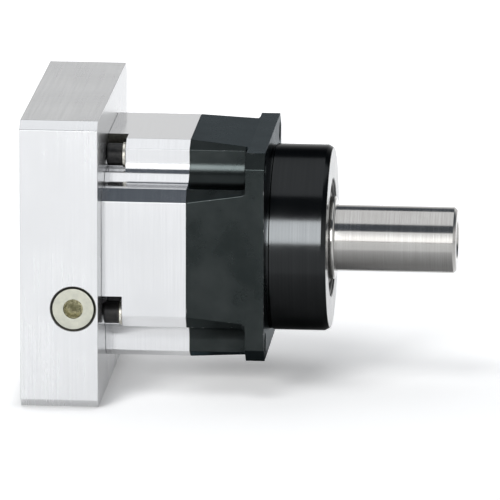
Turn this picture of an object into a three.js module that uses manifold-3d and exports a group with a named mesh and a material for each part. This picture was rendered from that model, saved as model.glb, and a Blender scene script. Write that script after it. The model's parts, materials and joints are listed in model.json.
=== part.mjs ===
// Single-stage planetary gearbox, 5:1, with an output flange and shaft at one end
// and a square motor adapter plate with a clamping hub at the other.
//
// Units are millimetres. +X runs along the output shaft to its free end, +Z is up,
// and the origin is the centre of the output flange's front face.

import * as THREE from 'three';
import { mergeVertices } from 'three/addons/utils/BufferGeometryUtils.js';
import Module from 'manifold-3d';

const wasm = await Module();
wasm.setup();

// ------------------------------------------------------------ driving dimensions

const FIT = 0.3;                  // gap between pieces that touch on the real gearbox
const SEAM = 0.12;                // half of the gap where two casings meet
const ROUND = 30;                 // sides of a large cylinder
const SMALL = 12;                 // sides of a screw, pin or bolt hole
const FINE = 8;                   // sides of the smallest screws and their holes
const OVER = 1;                   // how far a cutter runs past the face that it enters by

// Output shaft, one forging with the front half of the planet carrier
const SHAFT_R = 16;
const SHAFT_END = 89.5;
const SEAL_LAND_R = 20;
const SEAL_LAND_END = 31;
const REAR_SEAT_R = 25;
const SHAFT_STEP_X = -17;

// Output housing
const FLANGE_HALF = 51.1;
const FLANGE_BACK = -9.1;
const FLANGE_CORNER_CUT = 6.6;
const PILOT_R = 45;
const PILOT_END = 29;
const PILOT_CHAMFER = [2.4, 1.4];  // along the axis, and off the radius
const BOLT_CIRCLE_R = 60;
const FLANGE_HOLE_R = 4.5;

// Square casings with one stepped notch along each corner
const CASING_HALF = 53.5;
const CASING_FRONT_HALF = 51.2;   // the output housing narrows to this at its flange
const FLAT_HALF = 28;             // half width of each flat side
const NOTCH_WALL = 34;
const NOTCH_RIM = 49.7;
const NOTCH_RIDGE_R = 52.4;       // the notch rises to a ridge at this radius
const NOTCH_FILLET_R = 9;
const JOINT_X = -37;              // gear housing meets output housing
const PLATE_FRONT = -77.6;        // adapter plate meets gear housing

// Adapter plate, cut for a servo motor with a 130 mm pilot
const PLATE_HALF = 70;
const PLATE_BACK = -115.1;
const PLATE_EDGE_CUT = 4;
const MOTOR_PILOT_R = 65.2;
const RECESS_FLOOR_X = -110.1;
const MOTOR_HOLE = 58.3;          // y and z of the tapped holes on a 165 mm circle
const MOTOR_HOLE_R = 4.25;
const MOTOR_HOLE_DEPTH = 25;
const HUB_ROOM_R = 33;

// Boss on the back of the gear housing, which centres the plate and holds the input bearing
const BOSS_R = 31;
const BOSS_BACK = -81.6;
const BOSS_ROOM_X = -82;

// M6 body bolts with washers, each in a pocket that is open to the notch
const BOLT_R = 3;
const BOLT_HEAD_R = 5.4;
const BOLT_SIDE = 28.2;
const BOLT_OUT = 45.4;
const BOLT_X = { head: -77.3, seat: -69.75, end: -24 };
const WASHER_R = 6;
const WASHER_BACK = -69.6;
const POCKET_END_X = -68;
const POCKET_WALL = 18.6;         // y of the wall nearest the middle of the side
const POCKET_FLOOR = 38.3;        // z of the floor under the bolt head
const POCKET_CORNER_R = 6;

// M6 screws that hold the plate, reached from the motor side
const SCREW_R = 3;
const SCREW_HEAD_R = 5;
const SCREW_SOCKET = 5;           // across flats, in the body bolts too
const SCREW_SIDE = 28;
const SCREW_OUT = 45;
const SCREW_X = { head: -109.9, seat: -103.9, end: -68 };
const COUNTERBORE_DEPTH = 6.5;

// Dowels between the two housings
const DOWEL_R = 2;
const DOWEL_OUT = 50;
const DOWEL_X = [-43, -31];

// Gear train: ring fixed, carrier drives the output
const MODULE = 1.6;
const SUN_TEETH = 12;
const PLANET_TEETH = 18;
const RING_TEETH = 48;
const PRESSURE_ANGLE = THREE.MathUtils.degToRad(25);
const ADDENDUM = 0.9 * MODULE;
const DEDENDUM = 1.2 * MODULE;
const BACKLASH_EACH = 0.1;        // taken off each tooth, along the pitch circle
const CENTRE_DISTANCE = MODULE * (SUN_TEETH + PLANET_TEETH) / 2;
const PLANET_ANGLES = [90, 210, 330].map(THREE.MathUtils.degToRad);
const PLANET_X = [-64, -45];
const SUN_X = [-64.2, -44.8];
const SUN_STEM_END = -80.3;
const SUN_STEM_R = 7.2;
const FLANK_POINTS = 3;
const PIN_R = 5;
const NEEDLE_R = 8;

// Carrier
const CARRIER_R = 34.5;
const CARRIER_FRONT = [-43.4, -36.6];
const CARRIER_REAR = [-70.6, -65.6];
const PILLAR_AT_R = 28.5;
const PILLAR_R = 4.5;
const PIN_SOCKET_DEPTH = 5.7;
const CARRIER_SCREW_R = 2;
const CARRIER_SCREW_LENGTH = 14;
const CARRIER_PLATE_BORE_R = 13;
const THRUST_WASHER_R = 11.5;

// Ring gear and the bores that it sits in
const RING_OUTER_R = 46;
const RING_X = [-65.3, -41.2];
const SPIGOT_END = -40.9;
const CARRIER_ROOM_R = 37;
const CARRIER_ROOM_X = -71.2;

// Grooves for the retaining ring and the O-ring
const RETAINER_GROOVE = { x: [-36.6, -34.6], r: 42.4 };
const O_RING_GROOVE = { x: [-40.1, -38], r: 44.3 };
const O_RING_SECTION_R = 0.8;

// Bearings: x range, shaft radius, outer radius
const REAR_BEARING = { x: [-34.3, -18.3], inner: REAR_SEAT_R, outer: 40 };
const FRONT_BEARING = { x: [0, 15], inner: SEAL_LAND_R, outer: 34 };
const INPUT_BEARING = { x: [-79.8, -72.8], inner: 20, outer: 26 };
const OUTER_STEP_X = -15.8;       // where the rear bearing's bore narrows
const RACE_SIDES = 24;

// Seal at the mouth of the pilot
const SEAL_R = 28.5;
const SEAL_X = [22.2, 28.3];

// Input hub and clamp ring
const HUB_X = [-101.5, -71.3];
const HUB_NECK_R = 16.5;
const HUB_COLLAR_R = 22.5;
const HUB_COLLAR_X = -82.4;
const SUN_SEAT_R = 7.5;
const SUN_SEAT_X = -80.6;
const MOTOR_SHAFT_R = 12.1;
const MOTOR_SHAFT_STOP_X = -84.5;
const CLAMP_X = [-96.5, -82.7];
const CLAMP_R = 29.5;
const CLAMP_SCREW_X = -89.6;
const CLAMP_SCREW_Z = -21.1;
const CLAMP_SEAT_Y = -13;
const CLAMP_HEAD_Y = -19.2;
const CLAMP_SCREW_END_Y = 15;

// Access plug in the plate's near side, over the clamp screw
const PLUG_R = 10.15;
const PLUG_LENGTH = 9;
const PLUG_SOCKET = 8;            // across flats
const PLUG_SOCKET_DEPTH = 6;
const ACCESS_R = 11.05;
const ACCESS_MOUTH_DEPTH = 1.2;

// ------------------------------------------------------------ solids

const alongX = new THREE.Matrix4().makeBasis(
  new THREE.Vector3(0, 1, 0),
  new THREE.Vector3(0, 0, 1),
  new THREE.Vector3(1, 0, 0),
);

function signedVolume(position, index) {
  const [a, b, c] = [0, 1, 2].map(() => new THREE.Vector3());
  let total = 0;
  for (let i = 0; i < index.count; i += 3) {
    a.fromBufferAttribute(position, index.getX(i));
    b.fromBufferAttribute(position, index.getX(i + 1));
    c.fromBufferAttribute(position, index.getX(i + 2));
    total += a.dot(b.cross(c));
  }
  return total / 6;
}

// A closed geometry as a solid whose faces point outward.
function solid(geometry) {
  geometry.deleteAttribute('normal');
  geometry.deleteAttribute('uv');
  const merged = mergeVertices(geometry, 1e-4);
  const triVerts = Uint32Array.from(merged.index.array);
  if (signedVolume(merged.attributes.position, merged.index) < 0) {
    triVerts.reverse();
  }
  const vertProperties = Float32Array.from(merged.attributes.position.array);
  return new wasm.Manifold(new wasm.Mesh({ numProp: 3, vertProperties, triVerts }));
}

// A flat outline in the YZ plane, pushed from x0 to x1.
function prism(outline, x0, x1) {
  const shape = new THREE.Shape(outline);
  const geometry = new THREE.ExtrudeGeometry(shape, { depth: x1 - x0, bevelEnabled: false });
  geometry.applyMatrix4(alongX);
  geometry.translate(x0, 0, 0);
  return solid(geometry);
}

// A profile of [x, radius] points turned about the X axis.
function turned(profile, sides = ROUND) {
  const points = profile.map(([x, r]) => new THREE.Vector2(r, x));
  const geometry = new THREE.LatheGeometry(points, sides);
  geometry.rotateZ(-Math.PI / 2);
  return solid(geometry);
}

// A turned ring whose section is the closed outline of [x, radius] points.
function turnedRing(section, sides = ROUND) {
  return turned([...section, section[0]], sides);
}

function tube([x0, x1], rInner, rOuter, sides = ROUND) {
  return turnedRing([[x0, rInner], [x1, rInner], [x1, rOuter], [x0, rOuter]], sides);
}

function rod(x0, x1, r, y = 0, z = 0, sides = SMALL) {
  return turned([[x0, 0], [x0, r], [x1, r], [x1, 0]], sides).translate([0, y, z]);
}

// A cylinder along Y, from y0 to y1.
function crossRod(y0, y1, r, x, z, sides = SMALL) {
  const geometry = new THREE.CylinderGeometry(r, r, y1 - y0, sides);
  geometry.translate(x, (y0 + y1) / 2, z);
  return solid(geometry);
}

function block(x0, x1, y0, y1, z0, z1) {
  const geometry = new THREE.BoxGeometry(x1 - x0, y1 - y0, z1 - z0);
  geometry.translate((x0 + x1) / 2, (y0 + y1) / 2, (z0 + z1) / 2);
  return solid(geometry);
}

function hexagon(acrossFlats) {
  const corner = acrossFlats / Math.sqrt(3);
  return [0, 1, 2, 3, 4, 5].map((k) => {
    const angle = k * Math.PI / 3;
    return new THREE.Vector2(corner * Math.cos(angle), corner * Math.sin(angle));
  });
}

function cutAll(body, cutters) {
  return cutters.reduce((rest, cutter) => rest.subtract(cutter), body);
}

// The point (y, z) turned about the X axis by a number of quarter turns.
function quarterTurned(y, z, quarters) {
  const angle = quarters * Math.PI / 2;
  return [
    y * Math.cos(angle) - z * Math.sin(angle),
    y * Math.sin(angle) + z * Math.cos(angle),
  ];
}

const QUARTERS = [0, 1, 2, 3];
const BODY_BOLTS = QUARTERS.map((k) => quarterTurned(-BOLT_SIDE, BOLT_OUT, k));
const PLATE_SCREWS = QUARTERS.map((k) => quarterTurned(SCREW_SIDE, SCREW_OUT, k));
const MOTOR_HOLES = QUARTERS.map((k) => quarterTurned(MOTOR_HOLE, MOTOR_HOLE, k));
const FLANGE_HOLES = QUARTERS.map((k) => quarterTurned(
  BOLT_CIRCLE_R * Math.SQRT1_2,
  BOLT_CIRCLE_R * Math.SQRT1_2,
  k,
));

// ------------------------------------------------------------ outlines

// The corner's points repeated in all four corners.
function fourfold(corner) {
  return QUARTERS.flatMap((k) => corner.map(([y, z]) => new THREE.Vector2(...quarterTurned(y, z, k))));
}

function cutSquare(half, cut) {
  return fourfold([[half, half - cut], [half - cut, half]]);
}

// Square casing outline: flat sides, and in each corner a bevel down to a notch. The
// notch's two walls sweep in concave fillets up to a ridge on the diagonal.
function casingOutline() {
  const steps = 4;
  const toCentre = NOTCH_WALL + NOTCH_FILLET_R;
  const alongWall = Math.sqrt((NOTCH_RIDGE_R + NOTCH_FILLET_R) ** 2 - toCentre ** 2);
  const sweep = Math.PI / 2 - Math.atan2(toCentre, alongWall);
  const fillet = [];
  for (let i = 0; i <= steps; i += 1) {
    const angle = sweep * i / steps;
    fillet.push([
      alongWall - NOTCH_FILLET_R * Math.sin(angle),
      toCentre - NOTCH_FILLET_R * Math.cos(angle),
    ]);
  }
  const half = [[CASING_HALF, FLAT_HALF], [NOTCH_RIM, NOTCH_WALL], ...fillet];
  return fourfold([...half, ...half.map(([y, z]) => [z, y]).reverse()]);
}

// Outline of a bolt pocket: a wall, a rounded corner, and a floor that runs out
// through the notch. It is open towards the flat side of the casing.
function pocketOutline() {
  const steps = 4;
  const outside = CASING_HALF + 6;
  const points = [[-POCKET_WALL, outside]];
  for (let i = 0; i <= steps; i += 1) {
    const angle = Math.PI / 2 * i / steps;
    points.push([
      -POCKET_WALL - POCKET_CORNER_R * (1 - Math.cos(angle)),
      POCKET_FLOOR + POCKET_CORNER_R * (1 - Math.sin(angle)),
    ]);
  }
  points.push([-NOTCH_WALL - 6, POCKET_FLOOR], [-NOTCH_WALL - 6, outside]);
  return points.map(([y, z]) => new THREE.Vector2(y, z));
}

// Involute outline of a spur gear with one tooth centred on angle zero. For a ring
// gear it is the outline of the hole, whose "teeth" are the ring's tooth spaces.
function gearOutline(teeth, rootR, tipR, thinning, flankPoints) {
  const pitchR = MODULE * teeth / 2;
  const baseR = pitchR * Math.cos(PRESSURE_ANGLE);
  const involute = (angle) => Math.tan(angle) - angle;
  const halfAtPitch = Math.PI / (2 * teeth) - thinning / (2 * pitchR);
  const halfAngleAt = (r) => {
    const pressure = Math.acos(Math.min(1, baseR / r));
    return halfAtPitch + involute(PRESSURE_ANGLE) - involute(pressure);
  };
  const flankStart = Math.max(rootR, baseR);
  const flank = rootR < baseR ? [[rootR, halfAngleAt(baseR)]] : [];
  for (let i = 0; i < flankPoints; i += 1) {
    const r = flankStart + (tipR - flankStart) * i / (flankPoints - 1);
    flank.push([r, halfAngleAt(r)]);
  }
  const points = [];
  for (let tooth = 0; tooth < teeth; tooth += 1) {
    const centre = 2 * Math.PI * tooth / teeth;
    const rising = flank.map(([r, half]) => [r, centre - half]);
    const falling = flank.map(([r, half]) => [r, centre + half]).reverse();
    for (const [r, angle] of [...rising, ...falling]) {
      points.push(new THREE.Vector2(r * Math.cos(angle), r * Math.sin(angle)));
    }
  }
  return points;
}

// ------------------------------------------------------------ casings

function makeAdapterPlate() {
  const front = PLATE_FRONT - SEAM;
  const side = -PLATE_HALF;
  const access = [CLAMP_SCREW_X, CLAMP_SCREW_Z, 24];
  const cutters = [
    rod(PLATE_BACK - OVER, RECESS_FLOOR_X, MOTOR_PILOT_R, 0, 0, 48),
    rod(RECESS_FLOOR_X - OVER, BOSS_ROOM_X, HUB_ROOM_R, 0, 0, ROUND),
    rod(BOSS_ROOM_X - OVER, front + OVER, BOSS_R + FIT, 0, 0, ROUND),
    crossRod(side - OVER, -HUB_ROOM_R + 5, PLUG_R + FIT, ...access),
    crossRod(side - OVER, side + ACCESS_MOUTH_DEPTH, ACCESS_R, ...access),
  ];
  for (const [y, z] of MOTOR_HOLES) {
    cutters.push(rod(PLATE_BACK - OVER, PLATE_BACK + MOTOR_HOLE_DEPTH, MOTOR_HOLE_R, y, z));
  }
  for (const [y, z] of PLATE_SCREWS) {
    const counterboreEnd = RECESS_FLOOR_X + COUNTERBORE_DEPTH;
    cutters.push(rod(RECESS_FLOOR_X - OVER, counterboreEnd, SCREW_HEAD_R + 2 * FIT, y, z));
    cutters.push(rod(RECESS_FLOOR_X, front + OVER, SCREW_R + FIT, y, z));
  }
  return cutAll(prism(cutSquare(PLATE_HALF, PLATE_EDGE_CUT), PLATE_BACK, front), cutters);
}

function makeGearHousing() {
  const back = PLATE_FRONT + SEAM;
  const front = JOINT_X - SEAM;
  const ringBoreX = RING_X[0] - FIT;
  const bearingLipR = INPUT_BEARING.outer - 2.5;
  const body = prism(casingOutline(), back, front)
    .add(rod(BOSS_BACK, back + 1, BOSS_R, 0, 0, ROUND));
  const cutters = [
    rod(BOSS_BACK - OVER, INPUT_BEARING.x[1] + FIT, INPUT_BEARING.outer + FIT, 0, 0, ROUND),
    rod(INPUT_BEARING.x[1], CARRIER_ROOM_X + 0.1, bearingLipR, 0, 0, ROUND),
    rod(CARRIER_ROOM_X, ringBoreX + 0.1, CARRIER_ROOM_R, 0, 0, ROUND),
    rod(ringBoreX, front + OVER, RING_OUTER_R + FIT, 0, 0, ROUND),
  ];
  const pocket = prism(pocketOutline(), back - OVER, POCKET_END_X);
  for (const [k, [y, z]] of BODY_BOLTS.entries()) {
    cutters.push(pocket.rotate([90 * k, 0, 0]));
    cutters.push(rod(POCKET_END_X - OVER, front + OVER, BOLT_R + FIT, y, z));
  }
  for (const [y, z] of PLATE_SCREWS) {
    cutters.push(rod(back - OVER, SCREW_X.end + 0.5, SCREW_R + FIT, y, z));
  }
  for (const side of [-1, 1]) {
    cutters.push(rod(DOWEL_X[0] - FIT, front + OVER, DOWEL_R + FIT, 0, DOWEL_OUT * side, 10));
  }
  return cutAll(body, cutters);
}

// The tapered body, its flange, the pilot and the spigot that centres it, as one casting.
function makeOutputHousing() {
  const back = JOINT_X + SEAM;
  const taper = taperedBlock(back, FLANGE_BACK, CASING_HALF, CASING_FRONT_HALF);
  const pilot = turned([
    [FLANGE_BACK, 0],
    [FLANGE_BACK, PILOT_R],
    [PILOT_END - PILOT_CHAMFER[0], PILOT_R],
    [PILOT_END, PILOT_R - PILOT_CHAMFER[1]],
    [PILOT_END, 0],
  ], 48);
  const body = prism(casingOutline(), back, FLANGE_BACK).intersect(taper)
    .add(prism(cutSquare(FLANGE_HALF, FLANGE_CORNER_CUT), FLANGE_BACK, 0))
    .add(pilot)
    .add(rod(SPIGOT_END, back + 1, RING_OUTER_R, 0, 0, ROUND));
  const rearBoreR = REAR_BEARING.outer + FIT;
  const frontBoreR = FRONT_BEARING.outer + FIT;
  const cutters = [
    rod(SPIGOT_END - OVER, OUTER_STEP_X, rearBoreR, 0, 0, ROUND),
    rod(OUTER_STEP_X - OVER, FRONT_BEARING.x[1] + FIT, frontBoreR, 0, 0, ROUND),
    rod(FRONT_BEARING.x[1], PILOT_END + OVER, SEAL_R + FIT, 0, 0, ROUND),
    tube(RETAINER_GROOVE.x, rearBoreR - 1, RETAINER_GROOVE.r),
    tube(O_RING_GROOVE.x, O_RING_GROOVE.r, RING_OUTER_R + 1),
  ];
  for (const [y, z] of BODY_BOLTS) {
    cutters.push(rod(back - OVER, BOLT_X.end + 2, BOLT_R + FIT, y, z));
  }
  for (const side of [-1, 1]) {
    cutters.push(rod(back - OVER, DOWEL_X[1] + FIT, DOWEL_R + FIT, 0, DOWEL_OUT * side, 10));
  }
  for (const [y, z] of FLANGE_HOLES) {
    cutters.push(rod(FLANGE_BACK - OVER, OVER, FLANGE_HOLE_R, y, z, 16));
  }
  return cutAll(body, cutters);
}

// A square block whose sides lean in evenly from x0 to x1.
function taperedBlock(x0, x1, half0, half1) {
  const geometry = new THREE.BoxGeometry(x1 - x0, 2 * half0, 2 * half0);
  const position = geometry.attributes.position;
  const scale = half1 / half0;
  for (let i = 0; i < position.count; i += 1) {
    if (position.getX(i) > 0) {
      position.setY(i, position.getY(i) * scale);
      position.setZ(i, position.getZ(i) * scale);
    }
  }
  geometry.translate((x0 + x1) / 2, 0, 0);
  return solid(geometry);
}

// Threaded plug, flush with the plate's side, with a hexagon socket.
function makeAccessPlug() {
  const face = -PLATE_HALF;
  const body = crossRod(face, face + PLUG_LENGTH, PLUG_R, CLAMP_SCREW_X, CLAMP_SCREW_Z, 24);
  const mouthR = 0.6 * PLUG_SOCKET;
  const mouth = crossRod(face - OVER, face + 1, mouthR, CLAMP_SCREW_X, CLAMP_SCREW_Z, 16);
  const socket = prism(hexagon(PLUG_SOCKET), -OVER, PLUG_SOCKET_DEPTH)
    .rotate([0, 0, 90])
    .translate([CLAMP_SCREW_X, face, CLAMP_SCREW_Z]);
  return cutAll(body, [mouth, socket]);
}

// ------------------------------------------------------------ gears

function makeRingGear() {
  const pitchR = MODULE * RING_TEETH / 2;
  const [tipR, rootR] = [pitchR - ADDENDUM, pitchR + DEDENDUM];
  const hole = gearOutline(RING_TEETH, tipR, rootR, -BACKLASH_EACH, FLANK_POINTS);
  return rod(RING_X[0], RING_X[1], RING_OUTER_R, 0, 0, ROUND)
    .subtract(prism(hole, RING_X[0] - OVER, RING_X[1] + OVER));
}

function spurGear(teeth, [x0, x1]) {
  const pitchR = MODULE * teeth / 2;
  const [rootR, tipR] = [pitchR - DEDENDUM, pitchR + ADDENDUM];
  return prism(gearOutline(teeth, rootR, tipR, BACKLASH_EACH, FLANK_POINTS), x0, x1);
}

function makePlanetGear(angle) {
  return spurGear(PLANET_TEETH, PLANET_X)
    .subtract(rod(PLANET_X[0] - OVER, PLANET_X[1] + OVER, NEEDLE_R + FIT, 0, 0, 16))
    .rotate([THREE.MathUtils.radToDeg(angle), 0, 0])
    .translate([0, ...onCircle(CENTRE_DISTANCE, angle)]);
}

// The sun's tooth spaces face the planets, so it is turned by half a tooth.
function makeSunGear() {
  const chamfer = 0.6;
  const stem = turned([
    [SUN_STEM_END, 0],
    [SUN_STEM_END, SUN_STEM_R - chamfer],
    [SUN_STEM_END + chamfer, SUN_STEM_R],
    [SUN_X[0] + 0.2, SUN_STEM_R],
    [SUN_X[0] + 0.2, 0],
  ], 16);
  return spurGear(SUN_TEETH, SUN_X)
    .rotate([180 / SUN_TEETH, 0, 0])
    .add(stem);
}

function onCircle(radius, angle) {
  return [radius * Math.cos(angle), radius * Math.sin(angle)];
}

// ------------------------------------------------------------ carrier and output shaft

const PILLAR_ANGLES = PLANET_ANGLES.map((angle) => angle + Math.PI / 3);

function makeOutputShaft() {
  const neckR = SHAFT_R - 0.5;
  const neckEnd = SEAL_LAND_END + 2.2;
  const chamfer = 1.3;
  const shoulderR = 29;
  const threadR = 5.1;
  const threadEnd = SHAFT_END - 30;
  const mouthR = 9;
  const mouthX = SHAFT_END - 4.2;
  const body = turned([
    [CARRIER_FRONT[0], 0],
    [CARRIER_FRONT[0], CARRIER_R],
    [CARRIER_FRONT[1], CARRIER_R],
    [CARRIER_FRONT[1], shoulderR],
    [REAR_BEARING.x[0] - FIT, shoulderR],
    [REAR_BEARING.x[0] - FIT, REAR_SEAT_R],
    [SHAFT_STEP_X, REAR_SEAT_R],
    [SHAFT_STEP_X, SEAL_LAND_R],
    [SEAL_LAND_END - 0.8, SEAL_LAND_R],
    [SEAL_LAND_END, SEAL_LAND_R - 0.8],
    [SEAL_LAND_END, neckR],
    [neckEnd, neckR],
    [neckEnd + 0.5, SHAFT_R],
    [SHAFT_END - chamfer, SHAFT_R],
    [SHAFT_END, SHAFT_R - chamfer],
    [SHAFT_END, mouthR],
    [mouthX, 6.3],
    [mouthX, threadR],
    [threadEnd, threadR],
    [threadEnd - 3, 0],
  ], ROUND);
  const pillars = PILLAR_ANGLES.map((angle) => rod(
    CARRIER_REAR[1] + FIT,
    CARRIER_FRONT[0] + 1,
    PILLAR_R,
    ...onCircle(PILLAR_AT_R, angle),
  ));
  const holes = PLANET_ANGLES.map((angle) => rod(
    CARRIER_FRONT[0] - OVER,
    CARRIER_FRONT[0] + PIN_SOCKET_DEPTH,
    PIN_R + FIT,
    ...onCircle(CENTRE_DISTANCE, angle),
  ));
  const threads = PILLAR_ANGLES.map((angle) => rod(
    CARRIER_REAR[1] - OVER,
    CARRIER_REAR[0] + CARRIER_SCREW_LENGTH + 2,
    CARRIER_SCREW_R + FIT,
    ...onCircle(PILLAR_AT_R, angle),
    FINE,
  ));
  const forging = pillars.reduce((sum, pillar) => sum.add(pillar), body);
  return cutAll(forging, [...holes, ...threads]);
}

function makeCarrierPlate() {
  const [back, front] = CARRIER_REAR;
  const through = [back - OVER, front + OVER];
  const cutters = [rod(...through, CARRIER_PLATE_BORE_R, 0, 0, 20)];
  for (const angle of PLANET_ANGLES) {
    cutters.push(rod(...through, PIN_R + FIT, ...onCircle(CENTRE_DISTANCE, angle)));
  }
  for (const angle of PILLAR_ANGLES) {
    const [y, z] = onCircle(PILLAR_AT_R, angle);
    cutters.push(rod(...through, CARRIER_SCREW_R + FIT, y, z, FINE));
    cutters.push(rod(back - OVER, back + 3, 2 * CARRIER_SCREW_R, y, z));
  }
  return cutAll(rod(back, front, CARRIER_R, 0, 0, ROUND), cutters);
}

function makeCarrierScrew(angle) {
  const head = CARRIER_REAR[0] + 0.4;
  const headHeight = 2.3;
  const [y, z] = onCircle(PILLAR_AT_R, angle);
  const socket = prism(hexagon(2.5), head - OVER, head + 1.5).translate([0, y, z]);
  return rod(head, head + headHeight, 1.8 * CARRIER_SCREW_R, y, z)
    .add(rod(head + 2, head + CARRIER_SCREW_LENGTH, CARRIER_SCREW_R, y, z, FINE))
    .subtract(socket);
}

function makePlanetPin(angle) {
  const back = CARRIER_REAR[0] + FIT;
  const front = CARRIER_FRONT[0] + PIN_SOCKET_DEPTH - 0.4;
  return turned([
    [back, 0],
    [back, PIN_R - 0.5],
    [back + 0.5, PIN_R],
    [front, PIN_R],
    [front, 0],
  ], SMALL).translate([0, ...onCircle(CENTRE_DISTANCE, angle)]);
}

function makeNeedles(angle) {
  return tube([PLANET_X[0] + FIT, PLANET_X[1] - FIT], PIN_R + FIT, NEEDLE_R, 16)
    .translate([0, ...onCircle(CENTRE_DISTANCE, angle)]);
}

function makeThrustWasher(angle, x0) {
  return tube([x0, x0 + 1], PIN_R + FIT, THRUST_WASHER_R, SMALL)
    .translate([0, ...onCircle(CENTRE_DISTANCE, angle)]);
}

// ------------------------------------------------------------ bearings, seal, rings

// Each race is a ring with a shallow groove for the balls.
function raceSections({ x: [x0, x1], inner, outer }) {
  const middle = (x0 + x1) / 2;
  const wall = (outer - inner) * 0.3;
  const groove = wall * 0.4;
  const ballR = (outer - inner) / 2 - wall + groove - 0.15;
  const bore = inner + FIT;
  return {
    innerRace: [
      [x0, bore],
      [x1, bore],
      [x1, inner + wall],
      [middle + ballR * 0.7, inner + wall],
      [middle, inner + wall - groove],
      [middle - ballR * 0.7, inner + wall],
      [x0, inner + wall],
    ],
    outerRace: [
      [x0, outer],
      [x0, outer - wall],
      [middle - ballR * 0.7, outer - wall],
      [middle, outer - wall + groove],
      [middle + ballR * 0.7, outer - wall],
      [x1, outer - wall],
      [x1, outer],
    ],
    ballR,
  };
}

function makeInnerRace(bearing) {
  return turnedRing(raceSections(bearing).innerRace, RACE_SIDES);
}

function makeOuterRace(bearing) {
  return turnedRing(raceSections(bearing).outerRace, RACE_SIDES);
}

// The row of balls and its cage, as one ring with a six-sided section.
function makeBallRow(bearing) {
  const middle = (bearing.x[0] + bearing.x[1]) / 2;
  const pitchR = (bearing.inner + bearing.outer) / 2;
  const ballR = raceSections(bearing).ballR - 0.35;
  const section = hexagon(ballR * Math.sqrt(3)).map(({ x, y }) => [middle + y, pitchR + x]);
  return turnedRing(section, RACE_SIDES);
}

// Radial shaft seal: pressed case, oil lip on the shaft and a dust lip in front.
function makeOutputSeal() {
  const [x0, x1] = SEAL_X;
  const lipR = SEAL_LAND_R + FIT;
  return turnedRing([
    [x0, SEAL_R],
    [x0, SEAL_R - 2],
    [x1 - 2.2, SEAL_R - 2],
    [x1 - 2.2, lipR + 3.2],
    [x0 + 1.6, lipR],
    [x1 - 1.8, lipR + 1.3],
    [x1 - 0.5, lipR],
    [x1, SEAL_R],
  ], ROUND);
}

// Slotted lock nut that clamps the bearings' inner races.
function makeBearingNut() {
  const x = [FRONT_BEARING.x[1] + FIT, SEAL_X[0] - 2 * FIT];
  const nutR = 27;
  const slot = block(x[0] - OVER, x[1] + OVER, -2.5, 2.5, nutR - 2.4, nutR + 3);
  const slots = QUARTERS.map((k) => slot.rotate([90 * k + 45, 0, 0]));
  return cutAll(tube(x, SEAL_LAND_R + FIT, nutR, RACE_SIDES), slots);
}

// Flanged sleeve between the outer races; its flange sits on the step in the bore.
function makeOuterSpacer() {
  const flangeBack = REAR_BEARING.x[1] + FIT;
  const step = OUTER_STEP_X - FIT;
  const end = FRONT_BEARING.x[0] - FIT;
  const innerR = FRONT_BEARING.outer - 3;
  return turnedRing([
    [flangeBack, REAR_BEARING.outer - 5],
    [flangeBack, REAR_BEARING.outer],
    [step, REAR_BEARING.outer],
    [step, FRONT_BEARING.outer],
    [end, FRONT_BEARING.outer],
    [end, innerR],
    [step, innerR],
  ], RACE_SIDES);
}

function makeInnerSpacer() {
  const x = [SHAFT_STEP_X + FIT, FRONT_BEARING.x[0] - FIT];
  return tube(x, SEAL_LAND_R + FIT, SEAL_LAND_R + 4, RACE_SIDES);
}

// Internal retaining ring behind the rear bearing, open at the bottom.
function makeRetainingRing() {
  const [x0, x1] = RETAINER_GROOVE.x;
  const [innerR, outerR] = [RETAINER_GROOVE.r - 4.8, RETAINER_GROOVE.r - 0.4];
  const gap = block(x0 - OVER, x1 + OVER, -4, 4, -RETAINER_GROOVE.r, 2 - innerR);
  return tube([x0 + FIT, x1 - FIT], innerR, outerR, RACE_SIDES).subtract(gap);
}

function makeHousingORing() {
  const middle = (O_RING_GROOVE.x[0] + O_RING_GROOVE.x[1]) / 2;
  const centreR = O_RING_GROOVE.r + O_RING_SECTION_R + 0.1;
  const corners = QUARTERS.map((k) => quarterTurned(O_RING_SECTION_R, 0, k));
  return turnedRing(corners.map(([x, r]) => [middle + x, centreR + r]));
}

// ------------------------------------------------------------ input side

// Hub that takes the motor shaft in its split neck and the sun gear's stem in front.
function makeInputHub() {
  const [back, front] = HUB_X;
  const seatR = INPUT_BEARING.inner;
  const shoulderX = INPUT_BEARING.x[0] - FIT;
  const body = turned([
    [back, MOTOR_SHAFT_R + 1],
    [back, HUB_NECK_R - 0.6],
    [back + 0.6, HUB_NECK_R],
    [HUB_COLLAR_X, HUB_NECK_R],
    [HUB_COLLAR_X, HUB_COLLAR_R],
    [shoulderX, HUB_COLLAR_R],
    [shoulderX, seatR],
    [front - 0.6, seatR],
    [front, seatR - 0.6],
    [front, SUN_SEAT_R],
    [SUN_SEAT_X, SUN_SEAT_R],
    [SUN_SEAT_X, 0],
    [MOTOR_SHAFT_STOP_X, 0],
    [MOTOR_SHAFT_STOP_X, MOTOR_SHAFT_R],
    [back + 1, MOTOR_SHAFT_R],
    [back, MOTOR_SHAFT_R + 1],
  ], ROUND);
  const slitHalf = 0.8;
  const slit = block(back - OVER, MOTOR_SHAFT_STOP_X - 1.5, -30, 30, -slitHalf, slitHalf);
  return cutAll(body, [45, 135].map((angle) => slit.rotate([angle, 0, 0])));
}

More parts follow.
